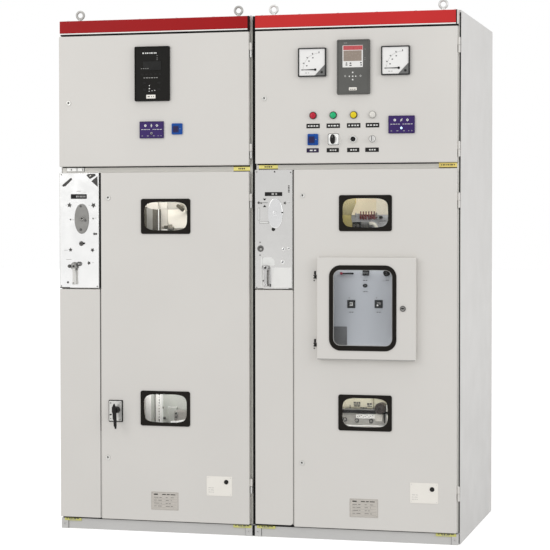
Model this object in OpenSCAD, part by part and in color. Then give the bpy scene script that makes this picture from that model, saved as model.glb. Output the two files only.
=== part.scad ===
/* [Cubicles] */
// Height from the floor to the roof
cub_h = 2200; // [2150:10:2300]
// Width of one cubicle
cub_w = 874; // [870:1:890]
// Depth from the door faces to the back
cub_d = 944; // [900:2:1100]
// Thickness of the steel sheet
sheet = 3; // [2:0.5:3.5]
// Height of the plinth
plinth_h = 45; // [40:1:45]
// Distance from the door faces back to the posts
recess = 27; // [27:1:32]
// Width and depth of a post
post = 40; // [36:1:42]

/* [Doors] */
// Depth of a folded door
door_d = 22; // [18:1:22]
// Bottom edge of the lower doors
low_z0 = 50; // [50:1:56]
// Top edge of the left lower door
low_z1 = 1545; // [1530:1:1548]
// Bottom edge of the left instrument door
ins_z0 = 1572; // [1570:1:1580]
// Top edge of the instrument doors
ins_z1 = 2133; // [2120:1:2134]
// Bottom edge of the red band
band_z0 = 2141; // [2140:1:2150]
// Radius of a hinge knuckle
knuckle_r = 5; // [4:0.5:5]

/* [Windows] */
// Width of a window frame
win_w = 222; // [210:1:230]
// Height of a window frame
win_h = 150; // [140:1:155]
// Width of the frame's rim
win_rim = 14; // [12:1:20]
// Width of the inspection window
ins_win_w = 285; // [270:1:290]
// Height of the inspection window
ins_win_h = 355; // [340:1:360]

/* [Instruments] */
// Side of a square panel meter
meter_w = 120; // [110:1:120]
// Diameter of a lamp bezel
lamp_d = 31; // [28:1:32]
// Travel of the push button
press = 4; // [2:0.5:4]

/* [Anchors] */
// Diameter of an anchor hole
anchor_d = 14; // [12:1:18]
// Distance from a plinth's end to its anchor holes
anchor_in = 120; // [90:5:160]

/* [Hidden] */
$fn = 48;

// Door faces and back face; the handle stands 50 mm in front of the doors
F = -(cub_d - 50) / 2;
B = F + cub_d;
// Post face and the back of the posts
P = F + recess;
Q = P + post;
// Left and right limits of the two cubicles
X0 = [-cub_w, 0];
X1 = [0, cub_w];
// Left and right edges of the doors, and of the strips beside them
door_l = [X0[0], X0[1] + 6];
door_r = [X1[0] - 22, X1[1] - 12];
low_l = [X0[0] + 190, X0[1] + 174];
strip_l = [X0[0], X0[1] + 5];
strip_r = [low_l[0] - 6, low_l[1] - 5.5];
mech_r = [strip_r[0] - 3, strip_r[1] - 0.5];
// Edges that differ a little from one cubicle to the other
low_top = [low_z1, low_z1 + 6];
ins_bot = [ins_z0, ins_z0 + 5];
mech_z0 = [1047, 1051];
strip_z0 = [low_z0 + 2, low_z0 + 5];
// Ends of the red bands
band_l = [X0[0] + 4, X0[1] + 6];
band_r = [X1[0] - 23, X1[1] - 9];
// Plinth ends
pl0 = [X0[0] + 4, X0[1]];
pl1 = [X1[0] - 13, X1[1] - 6];
// Right-hand faces of the hinge posts
post_r = [X1[0] - 12, X1[1] - 8];
// Hinge pins of the doors
pin_x = [door_r[0] + 7, door_r[1] + 7];
pin_y = F + 10;
roof_z = cub_h - 18;
floor_z = plinth_h + sheet;
// Height of each door's hinges
ins_hinge = [1600, 2025];
low_hinge = [182, 1390];
knuckle_h = 30;
// Inspection door
id_x0 = 279;
id_x1 = 696;
id_z0 = 760;
id_z1 = 1185;
id_f = F - 27;
id_b = F - 5;
id_pin_x = 269;
id_pin_y = F - 15;
id_hinge = [812, 1096];
id_cx = 473.5;
id_cz = 975.5;
// Window centres on the two lower doors
win = [[[-390.5, 1357], [-394, 534.5]], [[479.5, 1369], [478.5, 538]]];
lamps = [[257, 1776], [343, 1776], [430, 1776], [509.5, 1776]];
meters = [[254, 1997], [607, 1997]];
rot_c = [345, 1676];
but_c = [428.5, 1676];
sel_c = [509.5, 1676];
lock_c = [-610, 525];
lock_plate_c = [-618, 519];
lev_c = [[-802, 1142], [55, 1140]];

grey = [0.83, 0.82, 0.8];
steel = [0.62, 0.63, 0.64];
dark = [0.13, 0.12, 0.11];

// Box between two corners
module bx(x0, x1, y0, y1, z0, z1) {
  translate([x0, y0, z0]) cube([x1 - x0, y1 - y0, z1 - z0]);
}
// Folded sheet tray, open at the back
module pan(x0, x1, y0, d, z0, z1) {
  difference() {
    bx(x0, x1, y0, y0 + d, z0, z1);
    bx(x0 + sheet, x1 - sheet, y0 + sheet, y0 + d + 1, z0 + sheet, z1 - sheet);
  }
}
// Cylinder along Y
module ycyl(c, y0, y1, r) {
  translate([c[0], y1, c[1]]) rotate([90, 0, 0]) cylinder(h = y1 - y0, r = r);
}
// Flat rectangle with round corners
module rrect(w, h, r) {
  square([w - 2 * r, h], center = true);
  square([w, h - 2 * r], center = true);
  for (sx = [-1, 1], sz = [-1, 1])
    translate([sx * (w / 2 - r), sz * (h / 2 - r)]) circle(r);
}
// Plate with round corners that faces the viewer
module rplate(c, w, h, r, y0, y1) {
  translate([c[0], y1, c[1]]) rotate([90, 0, 0])
    linear_extrude(y1 - y0) rrect(w, h, r);
}
// Two-part knuckle: the lower half belongs to the frame, the upper half to the door
module knuckle(x, y, z, h) {
  translate([x, y, z]) cylinder(h = h, r = knuckle_r);
}

// ---- fixed structure ----

module plinth_rail(i, y, s) {
  // s is 1 at the front and -1 at the back
  yy = function (a, b) s > 0 ? [y + a, y + b] : [y - b, y - a];
  w = yy(14, 18); t = yy(14, 34); f = yy(14, 66); e = yy(10, 26);
  out = i == 0 && s > 0 ? 3.5 : 0;
  difference() {
    union() {
      bx(pl0[i], pl1[i], w[0], w[1], 0, plinth_h);
      bx(pl0[i], pl1[i], t[0], t[1], plinth_h - 4, plinth_h);
      bx(pl0[i], pl1[i], f[0], f[1], 0, 5);
      bx(pl0[i] - out, pl0[i] + 27, e[0], e[1], 0, plinth_h);
      bx(pl1[i] - 27, pl1[i], e[0], e[1], 0, plinth_h);
    }
    for (x = [pl0[i] + anchor_in, pl1[i] - anchor_in])
      translate([x, y + s * 46, -1]) cylinder(h = 7, d = anchor_d);
  }
}
module plinths() {
  color([0.7, 0.7, 0.68]) for (i = [0, 1]) {
    plinth_rail(i, F, 1);
    plinth_rail(i, B, -1);
    for (s = [0, 1]) {
      a = s == 0 ? pl0[i] : pl1[i] - 4;
      b = s == 0 ? pl0[i] : pl1[i] - 40;
      union() {
        bx(a, a + 4, F + 67, B - 67, 0, plinth_h);
        bx(b, b + 40, F + 67, B - 67, 0, 5);
      }
    }
  }
}
module floor_plates() {
  color(steel) for (i = [0, 1])
    bx(X0[i] + 3.4, X1[i] - 3.4, P, B - sheet, plinth_h, floor_z);
}
module side_walls() {
  color(grey) {
    bx(X0[0], X0[0] + 3, P, B, 0, cub_h);
    bx(-3.2, -0.2, Q - 6, B, plinth_h, roof_z);
    bx(0.2, 3.2, Q - 6, B, plinth_h, roof_z);
    bx(X1[1] - 3, X1[1], P, B, 0, cub_h);
  }
}
module back_panels() {
  color(grey) for (i = [0, 1])
    bx(X0[i] + 3.4, X1[i] - 3.4, B - sheet, B, floor_z, roof_z);
}
module roof_panels() {
  color(grey) for (i = [0, 1]) {
    a = X0[i] + (i == 1 ? 0.2 : 3);
    b = X1[i] - (i == 0 ? 0.2 : 3);
    difference() {
      bx(a, b, P, B, roof_z, cub_h);
      bx(a + sheet, b - sheet, P + sheet, B - sheet, roof_z - 1, cub_h - sheet);
    }
  }
}
module posts(i) {
  bx(X0[i] + 4, X0[i] + 4 + post, P, Q, floor_z, roof_z);
  bx(post_r[i] - post, post_r[i], P, Q, floor_z, roof_z);
  bx(low_l[i] - 28, low_l[i] + 12, P, Q, floor_z, 1520);
}
module left_front_posts() { color(steel) posts(0); }
module right_front_posts() { color(grey) posts(1); }
module cross_rails() {
  color(steel) for (i = [0, 1]) {
    a = X0[i] + 4 + post;
    b = post_r[i] - post;
    bx(a, b, P, Q, 1520, 1600);
    bx(a, b, P, Q, roof_z - 80, roof_z);
    bx(a, low_l[i] - 28, P, Q, floor_z, floor_z + 50);
    bx(low_l[i] + 12, b, P, Q, floor_z, floor_z + 50);
  }
}
module instrument_floors() {
  color(steel) for (i = [0, 1])
    bx(X0[i] + 3.4, X1[i] - 3.4, Q, F + 430, 1557, 1560);
}
module instrument_back_walls() {
  color(steel) for (i = [0, 1])
    bx(X0[i] + 3.4, X1[i] - 3.4, F + 430, F + 433, 1557, roof_z);
}
module red_bands() {
  color([0.72, 0.15, 0.16]) for (i = [0, 1])
    pan(band_l[i], band_r[i], F, recess, band_z0, cub_h - 1);
}
module mech_panel(i) {
  pan(strip_l[i], mech_r[i], F, recess, mech_z0[i], low_top[i] + 1);
}
module left_mechanism_panel() { color([0.85, 0.85, 0.85]) mech_panel(0); }
module right_mechanism_panel() { color([0.75, 0.76, 0.77]) mech_panel(1); }
module fixed_panels() {
  color(grey) for (i = [0, 1])
    pan(strip_l[i], strip_r[i], F, recess, strip_z0[i], mech_z0[i] - 4);
}
module lifting_eyes() {
  color([0.75, 0.76, 0.77])
    for (x = [-804, -88, 67, 791], y = [F + 80, B - 80])
      translate([x, y, cub_h]) {
        cylinder(h = 4, r = 13);
        cylinder(h = 15, r = 8);
        translate([0, 0, 32]) rotate([90, 0, 0]) rotate_extrude()
          translate([16, 0]) circle(r = 5.2);
      }
}
module operating_plates() {
  color([0.55, 0.55, 0.55]) for (c = [[-771, 1347], [94, 1369]]) {
    rplate(c, 64, 127, 31, F - 5, F);
    ycyl(c, F - 15, F - 4, 17);
    for (s = [-1, 1]) ycyl([c[0], c[1] + s * 48], F - 9, F - 4, 6);
  }
}
module frame_hinges() {
  color(steel) for (i = [0, 1], z = concat(ins_hinge, low_hinge)) {
    knuckle(pin_x[i], pin_y, z, knuckle_h);
    bx(pin_x[i] - 2, pin_x[i] + 2, pin_y, P, z, z + knuckle_h);
    bx(pin_x[i] - 16, pin_x[i] + (i == 0 ? 3 : -4), P - 2, P, z, z + knuckle_h);
  }
}

// ---- equipment inside ----

module breaker_case() {
  color([0.65, 0.66, 0.68]) {
    bx(296, 660, F + 49, F + 330, 738, 1190);
    rplate([478, 968.5], 384, 461, 10, F + 45, F + 49);
  }
}
module breaker_shelf() {
  color(steel) bx(3.4, cub_w - 3.4, Q + 8, F + 520, 722, 738);
}
module equipment_beams() {
  color([0.5, 0.51, 0.52]) {
    bx(3.4, cub_w - 3.4, F + 270, F + 330, 1270, 1300);
    bx(3.4, cub_w - 3.4, F + 184, F + 360, 515, 535);
    bx(3.4, cub_w - 3.4, F + 180, F + 184, 440, 535);
  }
}
module post_insulators() {
  // ribbed insulators that lie along X, each on a block bolted to the beam
  color([0.42, 0.14, 0.12]) for (x = [210, 420, 630]) {
    bx(x - 56, x + 19, F + 266, F + 334, 1300, 1332);
    bx(x - 44, x - 32, F + 288, F + 312, 1330, 1360);
    bx(x + 4, x + 16, F + 288, F + 312, 1330, 1360);
    translate([x - 46, F + 300, 1360]) rotate([0, 90, 0]) cylinder(h = 92, r = 11);
    for (k = [0 : 5])
      translate([x - 32 + 12 * k, F + 300, 1360]) rotate([0, 90, 0]) cylinder(h = 5, r = 17);
  }
}
module current_transformers() {
  color([0.86, 0.82, 0.68]) for (x = [190, 400, 610]) {
    bx(x - 75, x + 75, F + 190, F + 350, 535, 670);
    translate([x, F + 270, 670]) cylinder(h = 40, r = 34);
  }
}
module inner_columns() {
  color([0.6, 0.6, 0.58]) {
    difference() {
      bx(-535, -478, F + 130, F + 190, floor_z, 1557);
      bx(-532, -481, F + 133, F + 191, floor_z - 1, 1558);
    }
    difference() {
      bx(348, 394, F + 130, F + 190, 1215, 1557);
      bx(351, 391, F + 133, F + 191, 1214, 1558);
    }
  }
}

module mounting_plates() {
  color([0.8, 0.79, 0.74]) {
    bx(-610, -3.4, F + 190, F + 193, 1130, 1545);
    bx(-610, -3.4, F + 190, F + 193, 430, 660);
    bx(3.4, cub_w - 3.4, F + 420, F + 423, 1362, 1545);
  }
}

// ---- doors ----

// Upper knuckle halves and their leaves on a door of cubicle i
module door_knuckles(i, zs) {
  for (z = zs) {
    knuckle(pin_x[i], pin_y, z + knuckle_h + 1, knuckle_h);
    bx(door_r[i] - sheet, pin_x[i], pin_y - 2, pin_y + 2, z + knuckle_h + 1, z + 2 * knuckle_h + 1);
  }
}
module left_instrument_door() {
  color(grey) {
    pan(door_l[0], door_r[0], F, door_d, ins_bot[0], ins_z1);
    door_knuckles(0, ins_hinge);
  }
}
module right_instrument_door() {
  color(grey) {
    pan(door_l[1], door_r[1], F, door_d, ins_bot[1], ins_z1);
    door_knuckles(1, ins_hinge);
  }
}
module window_cut(c) {
  rplate(c, win_w - 18, win_h - 18, 8, F - 1, F + sheet + 1);
}
module left_lower_door() {
  color(grey) {
    difference() {
      pan(low_l[0], door_r[0], F, door_d, low_z0, low_top[0]);
      for (c = win[0]) window_cut(c);
    }
    door_knuckles(0, low_hinge);
  }
}
module right_lower_door() {
  color(grey) {
    difference() {
      pan(low_l[1], door_r[1], F, door_d, low_z0, low_top[1]);
      for (c = win[1]) window_cut(c);
      bx(305, 650, F - 1, F + sheet + 1, 785, 1165);
    }
    door_knuckles(1, low_hinge);
    for (z = id_hinge) {
      knuckle(id_pin_x, id_pin_y, z, 15);
      bx(id_pin_x - 2, id_pin_x + 2, id_pin_y, F + 1, z, z + 15);
    }
  }
}
module window_frame(c) {
  difference() {
    union() {
      rplate(c, win_w, win_h, 10, F - 5, F);
      rplate(c, win_w - 18, win_h - 18, 8, F - 1, F + 12);
    }
    rplate(c, win_w - 2 * win_rim, win_h - 2 * win_rim, 30, F - 6, F + 13);
  }
}
module window_pane(c) {
  rplate(c, win_w - 2 * win_rim, win_h - 2 * win_rim, 30, F + 3, F + 8);
}
module left_window_frames() { color(dark) for (c = win[0]) window_frame(c); }
module right_window_frames() { color(dark) for (c = win[1]) window_frame(c); }
module left_window_panes() { color([0.7, 0.8, 0.85, 0.4]) for (c = win[0]) window_pane(c); }
module right_window_panes() { color([0.7, 0.8, 0.85, 0.4]) for (c = win[1]) window_pane(c); }

module inspection_door() {
  c = [id_cx, id_cz];
  color(grey) {
    difference() {
      pan(id_x0, id_x1, id_f, id_b - id_f, id_z0, id_z1);
      rplate(c, ins_win_w - 14, ins_win_h - 14, 41, id_f - 1, id_f + sheet + 1);
    }
    for (z = id_hinge) {
      knuckle(id_pin_x, id_pin_y, z + 16, 15);
      bx(id_pin_x, id_x0 + sheet, id_pin_y - 2, id_pin_y + 2, z + 16, z + 31);
    }
  }
}
module inspection_gasket() {
  c = [id_cx, id_cz];
  color(dark) difference() {
    union() {
      rplate(c, ins_win_w, ins_win_h, 48, id_f - 4, id_f);
      rplate(c, ins_win_w - 14, ins_win_h - 14, 41, id_f - 1, id_f + 12);
    }
    rplate(c, ins_win_w - 36, ins_win_h - 36, 30, id_f - 5, id_f + 13);
  }
}
module inspection_pane() {
  color([0.7, 0.8, 0.85, 0.4])
    rplate([id_cx, id_cz], ins_win_w - 36, ins_win_h - 36, 30, id_f + 4, id_f + 8);
}

// ---- things on the doors ----

module left_panel_devices() {
  color([0.15, 0.15, 0.14]) {
    rplate([-447.5, 1964.5], 157, 233, 6, F - 14, F);
    rplate([-447.5, 1964.5], 139, 213, 4, F + sheet, F + 110);
  }
  color([0.27, 0.2, 0.43]) rplate([-451, 1726], 108, 72, 3, F - 7, F);
  color([0.08, 0.31, 0.63]) rplate([-337.5, 1728.5], 47, 47, 3, F - 7, F);
}
module right_panel_devices() {
  color([0.39, 0.39, 0.38]) {
    rplate([430, 1974], 140, 227, 6, F - 14, F);
    rplate([430, 1974], 124, 206, 4, F + sheet, F + 110);
  }
  color([0.27, 0.2, 0.43]) rplate([632, 1733.5], 110, 73, 3, F - 7, F);
  color([0.08, 0.31, 0.63]) rplate([256.5, 1676], 45, 47, 3, F - 7, F);
}
module panel_meters() {
  color([0.9, 0.9, 0.88]) for (c = meters) {
    rplate(c, meter_w, meter_w, 4, F - 12, F);
    ycyl(c, F + sheet, F + 62, 50);
  }
}
module indicator_lamps() {
  color([0.7, 0.2, 0.15]) for (c = lamps) {
    ycyl(c, F - 6, F, lamp_d / 2);
    ycyl(c, F - 13, F - 5, 11.5);
    ycyl(c, F + sheet, F + 45, 12);
  }
}
module switch_bezels() {
  color([0.85, 0.85, 0.84]) {
    rplate(rot_c, 48, 48, 4, F - 4, F);
    difference() {
      ycyl(but_c, F - 7, F, 15.5);
      ycyl(but_c, F - 8, F + 1, 12.3);
    }
    ycyl(sel_c, F - 6, F, 15.5);
    for (c = [rot_c, but_c, sel_c]) ycyl(c, F + sheet, F + 50, 13);
  }
}
module rotary_switch_knob() {
  color(dark) {
    ycyl(rot_c, F - 14, F - 4.4, 17);
    rplate(rot_c, 13, 40, 6, F - 30, F - 13);
  }
}
module selector_knob() {
  color([0.88, 0.88, 0.86]) {
    ycyl(sel_c, F - 12, F - 6.4, 12);
    rplate(sel_c, 8, 22, 3.5, F - 22, F - 11);
  }
}
module push_button() {
  color(dark) ycyl(but_c, F - 7 - press - 1, F - 1 - press, 11.8);
}
module lock_plate() {
  color([0.75, 0.75, 0.74]) rplate(lock_plate_c, 64, 94, 3, F - 6, F);
}
module lock_handle() {
  color(dark) {
    ycyl(lock_c, F - 34, F - 6.4, 13);
    rplate([lock_c[0], lock_c[1] - 26], 17, 110, 7, F - 50, F - 32);
  }
}
module lever(c) {
  color([0.78, 0.79, 0.8]) {
    ycyl(c, F - 22, F - 0.4, 12);
    rplate([c[0], c[1] - 36], 13, 80, 6, F - 21, F - 14);
    ycyl([c[0], c[1] - 72], F - 24, F - 13, 8);
  }
}
module left_interlock_lever() { lever(lev_c[0]); }
module right_interlock_lever() { lever(lev_c[1]); }

plinths();
floor_plates();
side_walls();
back_panels();
roof_panels();
left_front_posts();
right_front_posts();
cross_rails();
instrument_floors();
instrument_back_walls();
red_bands();
left_mechanism_panel();
right_mechanism_panel();
fixed_panels();
lifting_eyes();
operating_plates();
frame_hinges();
breaker_case();
breaker_shelf();
equipment_beams();
post_insulators();
current_transformers();
inner_columns();
mounting_plates();
left_instrument_door();
left_panel_devices();
left_lower_door();
left_window_frames();
left_window_panes();
lock_plate();
lock_handle();
right_instrument_door();
panel_meters();
right_panel_devices();
indicator_lamps();
switch_bezels();
rotary_switch_knob();
selector_knob();
push_button();
right_lower_door();
right_window_frames();
right_window_panes();
inspection_door();
inspection_gasket();
inspection_pane();
left_interlock_lever();
right_interlock_lever();
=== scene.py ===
import math

import bmesh
import bpy
from mathutils import Matrix, Vector
from mathutils.geometry import tessellate_polygon


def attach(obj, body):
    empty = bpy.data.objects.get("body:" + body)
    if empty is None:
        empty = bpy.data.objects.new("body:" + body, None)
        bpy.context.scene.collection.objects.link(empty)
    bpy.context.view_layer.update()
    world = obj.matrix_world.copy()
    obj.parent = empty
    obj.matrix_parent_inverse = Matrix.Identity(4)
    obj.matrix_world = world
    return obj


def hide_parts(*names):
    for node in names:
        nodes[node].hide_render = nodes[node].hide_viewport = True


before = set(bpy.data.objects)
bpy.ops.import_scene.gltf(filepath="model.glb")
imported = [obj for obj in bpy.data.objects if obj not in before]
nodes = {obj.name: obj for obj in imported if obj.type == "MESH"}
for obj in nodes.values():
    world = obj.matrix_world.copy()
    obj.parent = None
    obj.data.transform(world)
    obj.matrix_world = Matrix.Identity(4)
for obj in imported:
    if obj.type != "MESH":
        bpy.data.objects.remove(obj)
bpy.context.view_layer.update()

scene = bpy.context.scene

# Lengths below are millimetres in the part's own frame: x to the right, y from the
# doors to the back, z up. F is the plane of the door faces, B the back, P the post faces.
F, B = -447.0, 497.0
P, Q = F + 27.0, F + 67.0
PI = math.pi


# --------------------------------------------------------------------------- materials

def lin(c):
    return tuple(
        (x / 255 / 12.92) if x / 255 <= 0.04045 else ((x / 255 + 0.055) / 1.055) ** 2.4
        for x in c
    )


def surf(name, rgb, rough=0.45, metal=0.0, spec=0.5, var=0.04, vscale=5.0, rvar=0.05,
         bump=0.12, bscale=700.0, bdist=0.0002, stretch=(1, 1, 1), coat=0.0,
         coat_rough=0.1, alpha=1.0, emis=0.0, ior=1.5, detail=3.0, bstretch=None, zshade=None):
    """Paint, plastic or metal with cloudy colour, uneven gloss and a fine surface grain."""
    m = bpy.data.materials.new(name)
    m.use_nodes = True
    nt = m.node_tree
    nt.nodes.clear()
    out = nt.nodes.new("ShaderNodeOutputMaterial")
    b = nt.nodes.new("ShaderNodeBsdfPrincipled")
    nt.links.new(b.outputs["BSDF"], out.inputs["Surface"])
    tc = nt.nodes.new("ShaderNodeTexCoord")
    mp = nt.nodes.new("ShaderNodeMapping")
    mp.inputs["Scale"].default_value = stretch
    nt.links.new(tc.outputs["Object"], mp.inputs["Vector"])
    mb = mp
    if bstretch is not None:
        mb = nt.nodes.new("ShaderNodeMapping")
        mb.inputs["Scale"].default_value = bstretch
        nt.links.new(tc.outputs["Object"], mb.inputs["Vector"])
    n1 = nt.nodes.new("ShaderNodeTexNoise")
    n1.inputs["Scale"].default_value = vscale
    n1.inputs["Detail"].default_value = detail
    nt.links.new(mp.outputs[0], n1.inputs["Vector"])
    ramp = nt.nodes.new("ShaderNodeValToRGB")
    c = lin(rgb)
    ramp.color_ramp.elements[0].position = 0.3
    ramp.color_ramp.elements[1].position = 0.7
    ramp.color_ramp.elements[0].color = tuple(max(0.0, x * (1 - var)) for x in c) + (1,)
    ramp.color_ramp.elements[1].color = tuple(min(1.0, x * (1 + var)) for x in c) + (1,)
    nt.links.new(n1.outputs["Fac"], ramp.inputs["Fac"])
    if zshade is None:
        nt.links.new(ramp.outputs["Color"], b.inputs["Base Color"])
    else:
        # painted shade: the base colour is scaled down by height, darkest at the floor
        sx = nt.nodes.new("ShaderNodeSeparateXYZ")
        nt.links.new(tc.outputs["Object"], sx.inputs["Vector"])
        zr = nt.nodes.new("ShaderNodeMapRange")
        for key, val in zip(("From Min", "To Min", "From Max", "To Max"), zshade):
            zr.inputs[key].default_value = val
        nt.links.new(sx.outputs["Z"], zr.inputs["Value"])
        vm = nt.nodes.new("ShaderNodeVectorMath")
        vm.operation = "SCALE"
        nt.links.new(ramp.outputs["Color"], vm.inputs[0])
        nt.links.new(zr.outputs["Result"], vm.inputs["Scale"])
        nt.links.new(vm.outputs["Vector"], b.inputs["Base Color"])
    n2 = nt.nodes.new("ShaderNodeTexNoise")
    n2.inputs["Scale"].default_value = vscale * 4.3
    n2.inputs["Detail"].default_value = 2.0
    nt.links.new(mp.outputs[0], n2.inputs["Vector"])
    mr = nt.nodes.new("ShaderNodeMapRange")
    mr.inputs["From Min"].default_value = 0.3
    mr.inputs["From Max"].default_value = 0.7
    mr.inputs["To Min"].default_value = max(0.0, rough - rvar)
    mr.inputs["To Max"].default_value = min(1.0, rough + rvar)
    nt.links.new(n2.outputs["Fac"], mr.inputs["Value"])
    nt.links.new(mr.outputs["Result"], b.inputs["Roughness"])
    n3 = nt.nodes.new("ShaderNodeTexNoise")
    n3.inputs["Scale"].default_value = bscale
    n3.inputs["Detail"].default_value = 2.0
    nt.links.new(mb.outputs[0], n3.inputs["Vector"])
    bp = nt.nodes.new("ShaderNodeBump")
    bp.inputs["Strength"].default_value = bump
    bp.inputs["Distance"].default_value = bdist
    nt.links.new(n3.outputs["Fac"], bp.inputs["Height"])
    nt.links.new(bp.outputs["Normal"], b.inputs["Normal"])
    b.inputs["Metallic"].default_value = metal
    b.inputs["Specular IOR Level"].default_value = spec
    b.inputs["IOR"].default_value = ior
    b.inputs["Coat Weight"].default_value = coat
    b.inputs["Coat Roughness"].default_value = coat_rough
    if emis:
        b.inputs["Emission Color"].default_value = c + (1,)
        b.inputs["Emission Strength"].default_value = emis
    if alpha < 1:
        b.inputs["Alpha"].default_value = alpha
    return m


M = {}
M["body"] = surf("powder_coat_grey", (219, 216, 211), 0.42, var=0.018, vscale=2.2, bump=0.10, bscale=900, bdist=0.00012, spec=0.45)
# side, back and roof paint: a darker, shaded copy of the body paint, with painted shade that grows towards the floor
M["side"] = surf("powder_coat_side_painted_shade", (213, 211, 208), 0.40, var=0.018, vscale=1.8, bump=0.10, bscale=900, bdist=0.00012, spec=0.45, zshade=(0.0, 0.76, 0.85, 0.966))
# rails and posts: a lighter copy of the body paint, painted light on parts that sit in shade behind the doors
M["rail"] = surf("powder_coat_rail_painted_light", (226, 224, 218), 0.45, var=0.02, vscale=3.0, bump=0.10, bscale=900, bdist=0.00012)
M["plinth"] = surf("powder_coat_plinth", (200, 199, 197), 0.48, var=0.03, vscale=4.0, bump=0.14, bscale=800, bdist=0.00015)
M["red"] = surf("red_enamel", (161, 24, 27), 0.34, var=0.05, vscale=3.0, bump=0.08, bscale=700, bdist=0.0001, spec=0.12)
# right band: a lighter copy of the same red enamel, painted light
M["red_bright"] = surf("red_enamel_painted_lit", (200, 50, 50), 0.34, var=0.05, vscale=3.0, bump=0.08, bscale=700, bdist=0.0001, spec=0.12)
M["lip"] = surf("pale_band_lip", (250, 249, 246), 0.35, var=0.02, vscale=9.0)
M["post"] = surf("hinge_post_steel", (198, 197, 190), 0.42, metal=0.25, var=0.06, vscale=7.0, stretch=(1, 1, 0.2))
M["zinc"] = surf("zinc_sheet", (196, 198, 200), 0.36, metal=0.7, var=0.10, vscale=26.0, rvar=0.10, bump=0.1, bscale=420, detail=5)
M["steel"] = surf("brushed_steel", (186, 186, 184), 0.32, metal=0.85, var=0.07, vscale=9.0, stretch=(1, 1, 30), rvar=0.08, bump=0.08, bscale=260, bdist=0.00008)
M["inox_white"] = surf("polished_sheet_bright", (238, 238, 237), 0.16, metal=0.85, var=0.012, vscale=5.0, rvar=0.05, bump=0.05, bscale=9, bdist=0.0010)
M["inox"] = surf("polished_stainless", (206, 205, 203), 0.12, metal=0.92, var=0.015, vscale=6.0, rvar=0.03, bump=0.05, bscale=11, bdist=0.0010)
for _n, _c in (("inlay_light", (190, 189, 188)), ("inlay_mid", (168, 167, 166)), ("inlay_grey", (146, 145, 144)),
               ("inlay_dark", (92, 91, 90)), ("inlay_deep", (90, 89, 88))):
    M[_n] = surf("polished_" + _n, _c, 0.16, metal=0.85, var=0.04, vscale=24.0, rvar=0.04, bump=0.05, bscale=60, bdist=0.0003, stretch=(1, 1, 0.4))
M["plate_grey"] = surf("cast_zinc_grey", (170, 169, 166), 0.42, metal=0.55, var=0.10, vscale=30.0, bump=0.2, bscale=500)
M["chrome"] = surf("chrome_plate", (215, 215, 215), 0.10, metal=1.0, var=0.03, vscale=20.0, rvar=0.05, bump=0.05, bscale=300, bdist=0.0001)
M["dull_chrome"] = surf("dull_chrome", (190, 189, 186), 0.28, metal=0.9, var=0.08, vscale=60.0, rvar=0.1, bump=0.12, bscale=420)
M["dark"] = surf("dark_recess", (34, 33, 31), 0.6, var=0.15, vscale=40.0, spec=0.2)
M["eye_steel"] = surf("forged_eye_steel", (206, 206, 204), 0.34, metal=0.6, var=0.10, vscale=50.0, rvar=0.1, bump=0.15, bscale=420)
M["screw_dark"] = surf("dark_screw_steel", (92, 91, 89), 0.45, metal=0.4, var=0.10, vscale=60.0, bump=0.12, bscale=500)
M["hub_dark"] = surf("dark_hub_steel", (86, 85, 83), 0.42, metal=0.4, var=0.12, vscale=60.0, bump=0.12, bscale=500)
M["gusset"] = surf("dark_gusset_steel", (62, 61, 59), 0.45, metal=0.3, var=0.12, vscale=50.0, bump=0.12, bscale=500)
M["oval_grey"] = surf("oval_plate_zinc", (136, 135, 132), 0.42, metal=0.5, var=0.10, vscale=30.0, bump=0.2, bscale=500)
M["lock_face"] = surf("lock_face_chrome", (206, 205, 201), 0.32, metal=0.5, var=0.05, vscale=50.0, bump=0.1, bscale=420)
M["lever_light"] = surf("lever_arm_steel", (180, 179, 176), 0.33, metal=0.6, var=0.06, vscale=40.0, rvar=0.1, bump=0.1, bscale=420)
M["lever_steel"] = surf("lever_steel", (140, 139, 136), 0.35, metal=0.6, var=0.08, vscale=40.0, rvar=0.1, bump=0.1, bscale=420)
M["black_rubber"] = surf("black_rubber", (24, 21, 17), 0.60, var=0.12, vscale=18.0, bump=0.2, bscale=900, spec=0.12)
M["black"] = surf("black_plastic", (22, 21, 20), 0.50, var=0.10, vscale=22.0, bump=0.2, bscale=1100, spec=0.2)
M["relay_black"] = surf("relay_black", (26, 25, 23), 0.5, var=0.08, vscale=14.0, bump=0.2, bscale=1200, spec=0.12)
M["relay_grey"] = surf("relay_grey", (96, 96, 93), 0.5, var=0.05, vscale=14.0, bump=0.25, bscale=1200, spec=0.2)
M["screen_dark"] = surf("dark_screen", (24, 24, 23), 0.20, var=0.10, vscale=12.0, bump=0.02, spec=0.22)
M["screen_beige"] = surf("beige_screen", (150, 136, 124), 0.25, var=0.05, vscale=30.0, bump=0.03)
M["screen_red"] = surf("red_strip", (190, 78, 82), 0.30, var=0.06, vscale=30.0, bump=0.03)
M["white"] = surf("white_plastic", (236, 235, 232), 0.35, var=0.02, vscale=25.0, bump=0.08, bscale=900)
M["card"] = surf("white_card", (242, 238, 230), 0.40, var=0.012, vscale=18.0, bump=0.06, bscale=700)
M["ink"] = surf("ink_marks", (66, 65, 64), 0.55, var=0.12, vscale=90.0)
M["ink_mid"] = surf("thin_ink", (150, 149, 146), 0.55, var=0.06, vscale=60.0)
M["ink_pale"] = surf("pale_ink", (176, 175, 172), 0.55, var=0.05, vscale=60.0)
M["ink_white"] = surf("white_ink_and_painted_highlight", (233, 233, 230), 0.5, var=0.03, vscale=60.0)
M["violet"] = surf("violet_panel", (58, 38, 100), 0.35, var=0.08, vscale=30.0, bump=0.05, spec=0.2)
M["violet_dark"] = surf("violet_black_plate", (40, 30, 62), 0.4, var=0.10, vscale=40.0, spec=0.2)
M["blue"] = surf("blue_module", (16, 74, 156), 0.36, var=0.08, vscale=30.0, bump=0.08, spec=0.2)
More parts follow.
